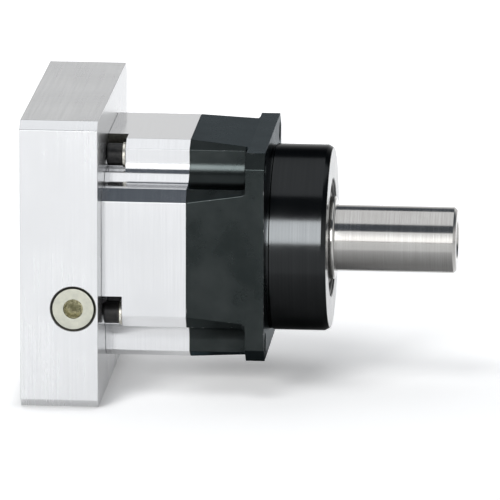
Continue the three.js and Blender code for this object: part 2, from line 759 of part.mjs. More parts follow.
function makeClampRing() {
  const [x0, x1] = CLAMP_X;
  const slit = block(x0 - OVER, x1 + OVER, -1, 1, -CLAMP_R - 1, 0);
  const axis = [CLAMP_SCREW_X, CLAMP_SCREW_Z];
  return cutAll(tube(CLAMP_X, HUB_NECK_R + FIT, CLAMP_R, ROUND), [
    slit,
    crossRod(-CLAMP_R - OVER, CLAMP_SEAT_Y, SCREW_HEAD_R + FIT, ...axis),
    crossRod(CLAMP_SEAT_Y - OVER, CLAMP_SCREW_END_Y + 2, SCREW_R + FIT, ...axis),
  ]);
}

function makeClampScrew() {
  const headSeat = CLAMP_SEAT_Y - FIT;
  const axis = [CLAMP_SCREW_X, CLAMP_SCREW_Z];
  const socket = prism(hexagon(SCREW_SOCKET), -OVER, SCREW_R)
    .rotate([0, 0, 90])
    .translate([CLAMP_SCREW_X, CLAMP_HEAD_Y, CLAMP_SCREW_Z]);
  return crossRod(CLAMP_HEAD_Y, headSeat, SCREW_HEAD_R, ...axis)
    .add(crossRod(headSeat - OVER, CLAMP_SCREW_END_Y, SCREW_R, ...axis))
    .subtract(socket);
}

// ------------------------------------------------------------ fasteners

// Socket head cap screw along +X, head first, with its axis at (y, z).
function capScrew(x, headR, shankR, [y, z]) {
  return turned([
    [x.head, 0],
    [x.head, headR],
    [x.seat, headR],
    [x.seat, shankR],
    [x.end, shankR],
    [x.end, 0],
  ], SMALL)
    .subtract(prism(hexagon(SCREW_SOCKET), x.head - OVER, x.head + shankR))
    .translate([0, y, z]);
}

function makeWasher([y, z]) {
  return tube([WASHER_BACK, POCKET_END_X - SEAM], BOLT_R + FIT, WASHER_R, 16)
    .translate([0, y, z]);
}

function makeDowel(side) {
  return rod(...DOWEL_X, DOWEL_R, 0, DOWEL_OUT * side, 10);
}

// ------------------------------------------------------------ materials

function finish(color, roughness, metalness) {
  return new THREE.MeshStandardMaterial({ color, roughness, metalness });
}

const brightAluminium = finish(0xe2e3e5, 0.35, 0.9);
const blackAnodised = finish(0x2b2d2f, 0.42, 0.35);
const groundSteel = finish(0xb9b4ad, 0.22, 1);
const gearSteel = finish(0x8d8f92, 0.38, 1);
const bearingSteel = finish(0xa9abad, 0.2, 1);
const zincYellow = finish(0xbdbcab, 0.4, 0.85);
const blackOxide = finish(0x1c1b1a, 0.45, 0.6);
const brightZinc = finish(0xc9ccd0, 0.3, 0.95);
const bronze = finish(0xb08a4a, 0.4, 0.9);
const rubber = finish(0x1a1a1c, 0.75, 0);

// ------------------------------------------------------------ assembly

const gearbox = new THREE.Group();
gearbox.name = 'planetary_gearbox';

function place(parent, name, body, material) {
  const { numProp, vertProperties, triVerts } = body.getMesh();
  const geometry = new THREE.BufferGeometry();
  geometry.setAttribute('position', new THREE.BufferAttribute(vertProperties, numProp));
  geometry.setIndex(new THREE.BufferAttribute(triVerts, 1));
  geometry.computeVertexNormals();
  const mesh = new THREE.Mesh(geometry, material);
  mesh.name = name;
  parent.add(mesh);
}

function placeBearing(parent, name, bearing) {
  place(parent, `${name}_bearing_outer_race`, makeOuterRace(bearing), bearingSteel);
  place(parent, `${name}_bearing_inner_race`, makeInnerRace(bearing), bearingSteel);
  place(parent, `${name}_bearing_balls`, makeBallRow(bearing), bearingSteel);
}

const casing = new THREE.Group();
place(casing, 'adapter_plate', makeAdapterPlate(), brightAluminium);
place(casing, 'gear_housing', makeGearHousing(), brightAluminium);
place(casing, 'output_housing', makeOutputHousing(), blackAnodised);
place(casing, 'ring_gear', makeRingGear(), gearSteel);
place(casing, 'output_seal', makeOutputSeal(), rubber);
place(casing, 'housing_o_ring', makeHousingORing(), rubber);
place(casing, 'bearing_outer_spacer', makeOuterSpacer(), gearSteel);
place(casing, 'retaining_ring', makeRetainingRing(), blackOxide);
place(casing, 'access_plug', makeAccessPlug(), zincYellow);
for (const [k, centre] of BODY_BOLTS.entries()) {
  const bolt = capScrew(BOLT_X, BOLT_HEAD_R, BOLT_R, centre);
  place(casing, `body_bolt_${k + 1}`, bolt, blackOxide);
  place(casing, `body_washer_${k + 1}`, makeWasher(centre), brightZinc);
}
for (const [k, centre] of PLATE_SCREWS.entries()) {
  const screw = capScrew(SCREW_X, SCREW_HEAD_R, SCREW_R, centre);
  place(casing, `plate_screw_${k + 1}`, screw, blackOxide);
}
place(casing, 'dowel_top', makeDowel(1), groundSteel);
place(casing, 'dowel_bottom', makeDowel(-1), groundSteel);
gearbox.add(casing);

const output = new THREE.Group();
place(output, 'output_shaft', makeOutputShaft(), groundSteel);
place(output, 'carrier_plate', makeCarrierPlate(), gearSteel);
place(output, 'bearing_nut', makeBearingNut(), blackOxide);
place(output, 'bearing_inner_spacer', makeInnerSpacer(), gearSteel);
for (const [k, angle] of PLANET_ANGLES.entries()) {
  place(output, `planet_pin_${k + 1}`, makePlanetPin(angle), groundSteel);
  place(output, `planet_gear_${k + 1}`, makePlanetGear(angle), gearSteel);
  place(output, `planet_needles_${k + 1}`, makeNeedles(angle), bearingSteel);
  place(output, `front_thrust_washer_${k + 1}`, makeThrustWasher(angle, PLANET_X[1] + FIT), bronze);
  place(output, `rear_thrust_washer_${k + 1}`, makeThrustWasher(angle, PLANET_X[0] - 1 - FIT), bronze);
  place(output, `carrier_screw_${k + 1}`, makeCarrierScrew(PILLAR_ANGLES[k]), blackOxide);
}
gearbox.add(output);

const input = new THREE.Group();
place(input, 'sun_gear', makeSunGear(), gearSteel);
place(input, 'input_hub', makeInputHub(), groundSteel);
place(input, 'clamp_ring', makeClampRing(), gearSteel);
place(input, 'clamp_screw', makeClampScrew(), blackOxide);
gearbox.add(input);

const bearings = new THREE.Group();
placeBearing(bearings, 'front', FRONT_BEARING);
placeBearing(bearings, 'rear', REAR_BEARING);
placeBearing(bearings, 'input', INPUT_BEARING);
gearbox.add(bearings);

export default gearbox;
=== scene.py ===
"""Looks of a single-stage planetary gearbox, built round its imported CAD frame.

Shapes are made in millimetres about the gearbox's own axis (+X to the free end of
the output shaft, +Z up) and are scaled to metres as each piece is placed.
"""

import json
import math

import bmesh
import bpy
from mathutils import Matrix, Vector


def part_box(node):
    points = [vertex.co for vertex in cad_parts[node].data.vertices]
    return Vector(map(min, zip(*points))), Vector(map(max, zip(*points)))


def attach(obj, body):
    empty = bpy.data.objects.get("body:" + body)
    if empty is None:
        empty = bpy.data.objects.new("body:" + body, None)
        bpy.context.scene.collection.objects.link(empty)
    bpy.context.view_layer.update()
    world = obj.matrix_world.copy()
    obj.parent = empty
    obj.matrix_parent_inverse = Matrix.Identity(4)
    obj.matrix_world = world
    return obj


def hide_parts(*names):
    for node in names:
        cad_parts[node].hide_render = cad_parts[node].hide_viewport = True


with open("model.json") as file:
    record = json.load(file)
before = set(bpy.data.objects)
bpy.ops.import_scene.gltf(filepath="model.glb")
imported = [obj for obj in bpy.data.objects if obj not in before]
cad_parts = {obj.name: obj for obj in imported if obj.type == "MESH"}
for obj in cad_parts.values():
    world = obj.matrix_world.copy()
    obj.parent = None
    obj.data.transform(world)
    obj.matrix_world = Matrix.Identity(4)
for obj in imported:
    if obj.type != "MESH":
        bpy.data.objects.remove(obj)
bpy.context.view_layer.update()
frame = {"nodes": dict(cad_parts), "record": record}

MM = 0.001
SCENE = bpy.context.scene
QUARTERS = range(4)
ROUND = 128                 # sides of a large turned shape
SMALL = 48                  # sides of a screw hole
FINE = 24                   # sides of holes that only show inside
OVER = 1.0                  # how far a cutter runs past the face that it enters by
FIT = 0.3                   # gap between pieces that touch on the real gearbox
SEAM = 0.08                 # gap between two casings where they meet


# ------------------------------------------------------------ driving dimensions, mm

def node_box(name):
    """A CAD node's lowest and highest corner, in millimetres."""
    lo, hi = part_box(name)
    return [c / MM for c in lo], [c / MM for c in hi]


PLATE_LO, PLATE_HI = node_box("adapter_plate")
PLATE_BACK, PLATE_FRONT = PLATE_LO[0], PLATE_HI[0]
PLATE_HALF = PLATE_HI[1]
PLATE_EDGE_CUT = 4.0
MOTOR_PILOT_R = 65.2
RECESS_FLOOR_X = PLATE_BACK + 5.0
HUB_ROOM_R = 33.0
BOSS_ROOM_X = -82.0
BOSS_R = 31.0
MOTOR_HOLE = 58.3
MOTOR_HOLE_R = 4.25
MOTOR_HOLE_DEPTH = 25.0
COUNTERBORE_DEPTH = 6.5

GEAR_HOUSING_LO, GEAR_HOUSING_HI = node_box("gear_housing")
BOSS_BACK = GEAR_HOUSING_LO[0]
GEAR_HOUSING_BACK = PLATE_FRONT + SEAM
GEAR_HOUSING_FRONT = GEAR_HOUSING_HI[0]
CASING_HALF = GEAR_HOUSING_HI[1]
FLAT_HALF = 28.0
NOTCH_WALL = 34.0
NOTCH_RIM = 49.7
NOTCH_RIDGE_R = 52.4
NOTCH_FILLET_R = 9.0

OUTPUT_HOUSING_LO, OUTPUT_HOUSING_HI = node_box("output_housing")
SPIGOT_END, PILOT_END = OUTPUT_HOUSING_LO[0], OUTPUT_HOUSING_HI[0]
OUTPUT_HOUSING_BACK = GEAR_HOUSING_FRONT + SEAM
CASING_FRONT_HALF = 51.2
FLANGE_HALF = 51.1
FLANGE_BACK = -9.1
FLANGE_CORNER_CUT = 6.6
FLANGE_ROOT_R = 2.0
FLANGE_HOLE_AT = 42.43
FLANGE_HOLE_R = 4.5
PILOT_R = 45.0

BOLT_SIDE, BOLT_OUT = 28.2, 45.4
BOLT_LO, BOLT_HI = node_box("body_bolt_1")
BOLT_HEAD_R = 5.4
BOLT_SEAT_X = -69.75
WASHER_LO, WASHER_HI = node_box("body_washer_1")
WASHER_R = (WASHER_HI[1] - WASHER_LO[1]) / 2
POCKET_END_X = -68.0
POCKET_WALL = 18.6
POCKET_FLOOR = 38.3
POCKET_CORNER_R = 6.0
SCREW_SIDE, SCREW_OUT = 28.0, 45.0
SCREW_LO, SCREW_HI = node_box("plate_screw_1")
SCREW_SEAT_X = -103.9
SCREW_R = 3.0
SCREW_HEAD_R = 5.0
PLATE_SCREW_HOLE = {"full_to": -67.5, "tip": -66.5}
BODY_BOLT_HOLE = {"full_to": -22.0, "tip": -20.5}
DOWEL_R = 2.0
DOWEL_OUT = 50.0
DOWEL_HOLE_X = (-43.3, -30.7)

REAR_BEARING = {"x": (-34.3, -18.3), "inner": 25.0, "outer": 40.0}
FRONT_BEARING = {"x": (0.0, 15.0), "inner": 20.0, "outer": 34.0}
INPUT_BEARING = {"x": (-79.8, -72.8), "inner": 20.0, "outer": 26.0}
RING_OUTER_R = 46.0
RING_BORE_X = node_box("ring_gear")[0][0] - FIT
CARRIER_ROOM_X = -71.2
CARRIER_ROOM_R = 37.0
BEARING_LIP_R = 23.5
OUTER_STEP_X = -15.8
RETAINER_GROOVE = {"x": (-36.6, -34.6), "r": 42.4}
O_RING_GROOVE = {"x": (-40.1, -38.0), "r": 44.3}
SEAL_LO, SEAL_HI = node_box("output_seal")
SEAL_R = SEAL_HI[1]

SHAFT_HI = node_box("output_shaft")[1]
SHAFT_END = SHAFT_HI[0]
SHAFT_R = 16.0
SEAL_LAND_R = 20.0
SEAL_LAND_END = 31.0
CARRIER_R = SHAFT_HI[1]
CARRIER_FRONT = (-43.4, -36.6)
CARRIER_REAR_FACE = node_box("carrier_plate")[1][0]
CARRIER_SCREW_R = 2.0
CENTRE_DISTANCE = 24.0
PILLAR_AT_R = 28.5
PILLAR_R = 4.5
PLANET_ANGLES = [math.radians(a) for a in (90, 210, 330)]
PILLAR_ANGLES = [a + math.pi / 3 for a in PLANET_ANGLES]
PIN_R = 5.0
PIN_SOCKET_DEPTH = 5.7

HUB_LO, HUB_HI = node_box("input_hub")
HUB_NECK_R = 16.5
HUB_COLLAR_R = 22.5
HUB_COLLAR_X = -82.4
SUN_SEAT_R = 7.5
SUN_SEAT_X = -80.6
MOTOR_SHAFT_R = 12.1
MOTOR_SHAFT_STOP_X = -84.5
CLAMP_LO, CLAMP_HI = node_box("clamp_ring")
CLAMP_R = CLAMP_HI[1]
CLAMP_SCREW_X = (CLAMP_LO[0] + CLAMP_HI[0]) / 2
CLAMP_SCREW_Z = -21.1
CLAMP_SEAT_Y = -13.0

PLUG_R = 10.15
PLUG_LENGTH = 9.0
PLUG_SOCKET = 8.0            # across flats
PLUG_SOCKET_DEPTH = 6.0
ACCESS_R = 11.05
ACCESS_MOUTH_DEPTH = 1.2


# ------------------------------------------------------------ mesh building

def into_object(bm, name="shape"):
    bmesh.ops.recalc_face_normals(bm, faces=bm.faces)
    mesh = bpy.data.meshes.new(name)
    bm.to_mesh(mesh)
    bm.free()
    obj = bpy.data.objects.new(name, mesh)
    SCENE.collection.objects.link(obj)
    return obj


def lofted(rings):
    """A solid through rings of equally many (x, y, z) points, closed flat at both ends."""
    bm = bmesh.new()
    loops = [[bm.verts.new(point) for point in ring] for ring in rings]
    count = len(rings[0])
    for near, far in zip(loops, loops[1:]):
        for i in range(count):
            j = (i + 1) % count
            bm.faces.new((near[i], near[j], far[j], far[i]))
    bm.faces.new(loops[0])
    bm.faces.new(loops[-1])
    return into_object(bm)


def prism(outline, x0, x1):
    """An outline of (y, z) points pushed from x0 to x1."""
    return lofted([[(x, y, z) for y, z in outline] for x in (x0, x1)])


def turned(profile, sides=ROUND, ring=False, at=(0, 0)):
    """A profile of (x, r) points turned about an axis along X through (y, z) = at.

    A third value in a point is the depth by which every other side is sunk there,
    as in a knurl. With ring=True the profile is a closed section.
    """
    bm = bmesh.new()
    loops = []
    for x, r, *sunk in profile:
        if r == 0:
            loops.append([bm.verts.new((x, *at))])
            continue
        depth = sunk[0] if sunk else 0
        loop = []
        for i in range(sides):
            angle = 2 * math.pi * i / sides
            radius = r - depth * (i % 2)
            loop.append(bm.verts.new((
                x,
                at[0] + radius * math.cos(angle),
                at[1] + radius * math.sin(angle),
            )))
        loops.append(loop)
    pairs = list(zip(loops, loops[1:]))
    if ring:
        pairs.append((loops[-1], loops[0]))
    for near, far in pairs:
        for i in range(sides):
            j = (i + 1) % sides
            corners = [near[i % len(near)], near[j % len(near)]]
            corners += [far[j % len(far)], far[i % len(far)]]
            bm.faces.new(list(dict.fromkeys(corners)))
    return into_object(bm)


def rod(x0, x1, r, at=(0, 0), sides=ROUND):
    return turned([(x0, 0), (x0, r), (x1, r), (x1, 0)], sides, at=at)


def chamfered_hole(x0, x1, r, at=(0, 0), chamfer=0.4, sides=SMALL):
    """Cutter for a hole right through from x0 to x1, with both its mouths chamfered."""
    mouth_r = r + chamfer + OVER
    return turned([
        (x0 - OVER, 0), (x0 - OVER, mouth_r), (x0 + chamfer, r),
        (x1 - chamfer, r), (x1 + OVER, mouth_r), (x1 + OVER, 0),
    ], sides, at=at)


def drilled_hole(face_x, hole, at, sides=SMALL):
    """Cutter for a screw's blind hole, with a chamfered mouth and a drilled tip."""
    r = SCREW_R + FIT
    return turned([
        (face_x - OVER, 0), (face_x - OVER, r + 1.3), (face_x + 0.3, r),
        (hole["full_to"], r), (hole["tip"], 0),
    ], sides, at=at)


def threads(x0, x1, r_in, r_out, pitch):
    """Profile points of a thread between two radii, from x0 to x1 (either way along X)."""
    count = max(1, round(abs(x1 - x0) / pitch))
    step = (x1 - x0) / count
    points = []
    for i in range(count):
        points.append((x0 + step * i, r_in))
        points.append((x0 + step * (i + 0.5), r_out))
    points.append((x1, r_in))
    return points


def block(lo, hi):
    y0, z0 = lo[1:]
    y1, z1 = hi[1:]
    return prism([(y0, z0), (y1, z0), (y1, z1), (y0, z1)], lo[0], hi[0])


def hexagon(across_flats, at=(0, 0)):
    corner = across_flats / math.sqrt(3)
    angles = [math.pi / 3 * k for k in range(6)]
    return [(at[0] + corner * math.cos(a), at[1] + corner * math.sin(a)) for a in angles]


def moved(obj, matrix):
    obj.data.transform(matrix)
    return obj


def to_minus_y(obj, x, y, z):
    """Lays a shape made along X so that its +X end points along -Y, its origin at (x, y, z)."""
    return moved(obj, Matrix.Translation((x, y, z)) @ Matrix.Rotation(-math.pi / 2, 4, "Z"))


def about_x(obj, angle):
    return moved(obj, Matrix.Rotation(angle, 4, "X"))


def evaluated(obj):
    """obj with its modifiers made part of its mesh."""
    graph = bpy.context.evaluated_depsgraph_get()
    mesh = bpy.data.meshes.new_from_object(obj.evaluated_get(graph))
    obj.modifiers.clear()
    obj.data = mesh
    return obj


def combine(obj, others, operation):
    for other in others:
        step = obj.modifiers.new(operation.lower(), "BOOLEAN")
        step.operation = operation
        step.solver = "EXACT"
        step.object = other
        evaluated(obj)
        bpy.data.objects.remove(other)
    return obj


def cut(obj, *cutters):
    return combine(obj, cutters, "DIFFERENCE")


def join(obj, *others):
    return combine(obj, others, "UNION")


def softened(obj, width=0.3, angle=32):
    """obj with each edge sharper than the angle rounded off."""
    bevel = obj.modifiers.new("edges", "BEVEL")
    bevel.limit_method = "ANGLE"
    bevel.angle_limit = math.radians(angle)
    bevel.width = width
    bevel.segments = 2
    bevel.use_clamp_overlap = False
    return evaluated(obj)


def merged(objects):
    """Separate closed shapes as one mesh."""
    bm = bmesh.new()
    for obj in objects:
        bm.from_mesh(obj.data)
        bpy.data.objects.remove(obj)
    return into_object(bm)


# ------------------------------------------------------------ outlines

def quarter_turned(y, z, quarters):
    angle = quarters * math.pi / 2
    return (
        y * math.cos(angle) - z * math.sin(angle),
        y * math.sin(angle) + z * math.cos(angle),
    )


def on_circle(radius, angle):
    return radius * math.cos(angle), radius * math.sin(angle)


BODY_BOLTS = [quarter_turned(-BOLT_SIDE, BOLT_OUT, k) for k in QUARTERS]
PLATE_SCREWS = [quarter_turned(SCREW_SIDE, SCREW_OUT, k) for k in QUARTERS]
FLANGE_HOLES = [quarter_turned(FLANGE_HOLE_AT, FLANGE_HOLE_AT, k) for k in QUARTERS]
MOTOR_HOLES = [quarter_turned(MOTOR_HOLE, MOTOR_HOLE, k) for k in QUARTERS]
DOWELS = [(0, -DOWEL_OUT), (0, DOWEL_OUT)]


def cut_square(half, edge_cut):
    corner = [(half, half - edge_cut), (half - edge_cut, half)]
    return [quarter_turned(y, z, k) for k in QUARTERS for y, z in corner]


def casing_outline(half, swell=0.0):
    """Square casing with a stepped notch along each corner.

    From each flat a bevel falls to a notch, whose walls sweep in concave fillets up
    to a ridge on the diagonal. swell moves the notch outward, towards the corner.
    """
    steps = 10
    bevel_slope = (NOTCH_WALL - FLAT_HALF) / (CASING_HALF - NOTCH_RIM)
    to_centre = NOTCH_WALL + NOTCH_FILLET_R
    along_wall = math.sqrt((NOTCH_RIDGE_R + NOTCH_FILLET_R) ** 2 - to_centre ** 2)
    sweep = math.pi / 2 - math.atan2(to_centre, along_wall)
    rim = min(NOTCH_RIM + swell, half - 0.05)
    side = [(half, FLAT_HALF + (CASING_HALF - half) * bevel_slope + swell * 0.6)]
    side.append((rim, NOTCH_WALL + swell))
    for i in range(steps + 1):
        angle = sweep * i / steps
        reach = NOTCH_FILLET_R - swell
        side.append((along_wall - reach * math.sin(angle), to_centre - reach * math.cos(angle)))
    corner = side + [(z, y) for y, z in reversed(side)]
    return [quarter_turned(y, z, k) for k in QUARTERS for y, z in corner]


# ------------------------------------------------------------ casings

def at_plug(obj, y):
    """Lays a shape made along X on the axis of the access plug and the clamp screw."""
    return to_minus_y(obj, CLAMP_SCREW_X, y, CLAMP_SCREW_Z)


def make_adapter_plate():
    """Plate with the motor's recess, the hub's room, the access bore and all its screw holes."""
    plate = prism(cut_square(PLATE_HALF, PLATE_EDGE_CUT), PLATE_BACK, PLATE_FRONT)
    softened(plate, 0.35)
    lip = 0.6
    recess = turned([
        (PLATE_BACK - OVER, 0), (PLATE_BACK - OVER, MOTOR_PILOT_R + OVER + lip),
        (PLATE_BACK + lip, MOTOR_PILOT_R), (RECESS_FLOOR_X, MOTOR_PILOT_R), (RECESS_FLOOR_X, 0),
    ])
    hub_room = turned([
        (RECESS_FLOOR_X - OVER, 0), (RECESS_FLOOR_X - OVER, HUB_ROOM_R + OVER + lip),
        (RECESS_FLOOR_X + lip, HUB_ROOM_R), (BOSS_ROOM_X, HUB_ROOM_R), (BOSS_ROOM_X, 0),
    ])
    boss_room = rod(BOSS_ROOM_X - OVER, PLATE_FRONT + OVER, BOSS_R + FIT)
    into_hub_room = PLATE_HALF - HUB_ROOM_R + 5
    thread_depth = 13.0
    chamfer = 0.12
    access = at_plug(turned([
        (-into_hub_room, 0), (-into_hub_room, PLUG_R + FIT),
        *threads(-thread_depth, -ACCESS_MOUTH_DEPTH, PLUG_R + FIT, PLUG_R + 0.7, 1.5),
        (-ACCESS_MOUTH_DEPTH, ACCESS_R), (-chamfer, ACCESS_R), (OVER, ACCESS_R + OVER + chamfer), (OVER, 0),
    ], 96), -PLATE_HALF)
    end = PLATE_BACK + MOTOR_HOLE_DEPTH
    tapped = [turned([
        (PLATE_BACK - OVER, 0), (PLATE_BACK - OVER, MOTOR_HOLE_R + 2),
        *threads(PLATE_BACK + 1, end - 4, MOTOR_HOLE_R, MOTOR_HOLE_R + 0.7, 1.5),
        (end - 2.4, MOTOR_HOLE_R), (end, 0),
    ], SMALL, at=at) for at in MOTOR_HOLES]
    seat = RECESS_FLOOR_X + COUNTERBORE_DEPTH
    bore_r = SCREW_HEAD_R + 0.6
    counterbores = [turned([
        (RECESS_FLOOR_X - OVER, 0), (RECESS_FLOOR_X - OVER, bore_r + 1.4),
        (RECESS_FLOOR_X + 0.4, bore_r), (seat, bore_r), (seat, SCREW_R + FIT),
        (PLATE_FRONT + OVER, SCREW_R + FIT), (PLATE_FRONT + OVER, 0),
    ], SMALL, at=at) for at in PLATE_SCREWS]
    return cut(plate, recess, hub_room, boss_room, access, *tapped, *counterbores)


def make_pocket_cutter(quarter):
    """Pocket for a body bolt, with one wall and a floor that runs out through the notch."""
    steps = 12
    outside = CASING_HALF + 5
    beyond_notch = -NOTCH_WALL - 6
    outline = [(-POCKET_WALL, outside)]
    for i in range(steps + 1):
        angle = math.pi / 2 * i / steps
        outline.append((
            -POCKET_WALL - POCKET_CORNER_R * (1 - math.cos(angle)),
            POCKET_FLOOR + POCKET_CORNER_R * (1 - math.sin(angle)),
        ))
    outline += [(beyond_notch, POCKET_FLOOR), (beyond_notch, outside)]
    cutter = prism(outline, GEAR_HOUSING_BACK - OVER, POCKET_END_X)
    return about_x(cutter, quarter * math.pi / 2)


def make_gear_housing():
    """Casing round the ring gear, with the boss that carries the input bearing behind it."""
    body = prism(casing_outline(CASING_HALF), GEAR_HOUSING_BACK, GEAR_HOUSING_FRONT)
    cut(body, *[make_pocket_cutter(k) for k in QUARTERS])
    softened(body, 0.2)
    join(body, rod(BOSS_BACK, GEAR_HOUSING_BACK + OVER, BOSS_R))
    input_end = INPUT_BEARING["x"][1] + FIT
    input_r = INPUT_BEARING["outer"] + FIT
    ring_r = RING_OUTER_R + FIT
    bores = turned([
        (BOSS_BACK - OVER, 0), (BOSS_BACK - OVER, input_r + 1.5), (BOSS_BACK + 0.5, input_r),
        (input_end, input_r), (input_end, BEARING_LIP_R), (CARRIER_ROOM_X, BEARING_LIP_R),
        (CARRIER_ROOM_X, CARRIER_ROOM_R), (RING_BORE_X, CARRIER_ROOM_R), (RING_BORE_X, ring_r),
        (GEAR_HOUSING_FRONT + OVER, ring_r), (GEAR_HOUSING_FRONT + OVER, 0),
    ])
    through = [chamfered_hole(POCKET_END_X, GEAR_HOUSING_FRONT, SCREW_R + FIT, at, 0.3)
               for at in BODY_BOLTS]
    blind = [drilled_hole(GEAR_HOUSING_BACK, PLATE_SCREW_HOLE, at) for at in PLATE_SCREWS]
    dowels = [rod(DOWEL_HOLE_X[0], GEAR_HOUSING_FRONT + OVER, DOWEL_R + FIT, at, FINE)
              for at in DOWELS]
    return cut(body, bores, *through, *blind, *dowels)


def make_output_housing():
    """Tapered body that swells in a fillet to its flange, the flange, and the pilot."""
    def half_at(x):
        share = (x - OUTPUT_HOUSING_BACK) / (FLANGE_BACK - OUTPUT_HOUSING_BACK)
        return CASING_HALF + (CASING_FRONT_HALF - CASING_HALF) * share

    stations = [(OUTPUT_HOUSING_BACK, 0.0)]
    steps = 8
    for i in range(steps + 1):
        angle = math.pi / 2 * i / steps
        stations.append((
            FLANGE_BACK - FLANGE_ROOT_R * (1 - math.sin(angle)),
            FLANGE_ROOT_R * (1 - math.cos(angle)),
        ))
    stations.append((FLANGE_BACK + 1, FLANGE_ROOT_R))
    rings = []
    for x, swell in stations:
        half = half_at(x) if x <= FLANGE_BACK else FLANGE_HALF - 0.1
        rings.append([(x, y, z) for y, z in casing_outline(half, swell)])
    body = softened(lofted(rings), 0.14)
    flange = softened(prism(cut_square(FLANGE_HALF, FLANGE_CORNER_CUT), FLANGE_BACK, 0), 0.25)
    root = 0.5
    pilot = turned([
        (FLANGE_BACK + 1, 0), (FLANGE_BACK + 1, PILOT_R - root), (root, PILOT_R - root),
        (1.4, PILOT_R - root), (1.4 + root, PILOT_R), (PILOT_END - 2.6, PILOT_R),
        (PILOT_END - 2.3, PILOT_R - 0.12), (PILOT_END - 0.2, PILOT_R - 1.3),
        (PILOT_END, PILOT_R - 1.6), (PILOT_END, 0),
    ], 160)
    spigot = turned([
        (SPIGOT_END, 0), (SPIGOT_END, RING_OUTER_R - 0.5), (SPIGOT_END + 0.5, RING_OUTER_R),
        (OUTPUT_HOUSING_BACK + OVER, RING_OUTER_R), (OUTPUT_HOUSING_BACK + OVER, 0),
    ])
    join(body, flange, pilot, spigot)
    rear_r = REAR_BEARING["outer"] + FIT
    front_r = FRONT_BEARING["outer"] + FIT
    front_end = FRONT_BEARING["x"][1] + FIT
    seal_bore = SEAL_R + FIT
    retainer_back, retainer_front = RETAINER_GROOVE["x"]
    bores = turned([
        (SPIGOT_END - OVER, 0), (SPIGOT_END - OVER, rear_r + 1.5), (SPIGOT_END + 0.5, rear_r),
        (retainer_back, rear_r), (retainer_back, RETAINER_GROOVE["r"]),
        (retainer_front, RETAINER_GROOVE["r"]), (retainer_front, rear_r),
        (OUTER_STEP_X, rear_r), (OUTER_STEP_X, front_r), (front_end, front_r), (front_end, seal_bore),
        (PILOT_END - 0.5, seal_bore), (PILOT_END + OVER, seal_bore + 1.5), (PILOT_END + OVER, 0),
    ])
    groove_back, groove_front = O_RING_GROOVE["x"]
    groove_r = O_RING_GROOVE["r"]
    groove = turned([
        (groove_back, groove_r), (groove_front, groove_r),
        (groove_front, RING_OUTER_R + OVER), (groove_back, RING_OUTER_R + OVER),
    ], ring=True)
    screw_holes = [drilled_hole(OUTPUT_HOUSING_BACK, BODY_BOLT_HOLE, at, FINE) for at in BODY_BOLTS]
    dowels = [rod(OUTPUT_HOUSING_BACK - OVER, DOWEL_HOLE_X[1], DOWEL_R + FIT, at, FINE)
              for at in DOWELS]
    holes = [chamfered_hole(FLANGE_BACK, 0, FLANGE_HOLE_R, at, 0.5) for at in FLANGE_HOLES]
    return cut(body, bores, groove, *screw_holes, *dowels, *holes)


def make_access_plug():
    """Flush screw plug with a rounded rim and a hexagon socket with a turned mouth."""
    rim = 0.35
    head_r = PLUG_R - 0.2
    thread_start = 1.6
    mouth_r, mouth_depth = 4.6, 0.9
    drill_r, drill_depth = 3.9, PLUG_SOCKET_DEPTH - 0.1
    body = turned([
        (-PLUG_LENGTH, 0), (-PLUG_LENGTH, PLUG_R - 1.2),
        *threads(-PLUG_LENGTH + 1, -thread_start, PLUG_R - 0.5, PLUG_R, 1.5),
        (-thread_start, head_r), (-rim, head_r), (-rim * 0.3, head_r - rim * 0.3),
        (0, head_r - rim), (0, mouth_r + 0.5), (-0.25, mouth_r + 0.15),
        (-mouth_depth, mouth_r), (-mouth_depth, 0),
    ], 96)
    socket = prism(hexagon(PLUG_SOCKET), -PLUG_SOCKET_DEPTH, OVER)
    drill = turned([
        (-drill_depth - 1.3, 0), (-drill_depth, drill_r), (-mouth_depth + 0.1, drill_r),
        (-mouth_depth + 0.1, 0),
    ], SMALL)
    cut(body, socket, drill)
    return at_plug(body, -PLATE_HALF)


# ------------------------------------------------------------ shaft, seal, carrier

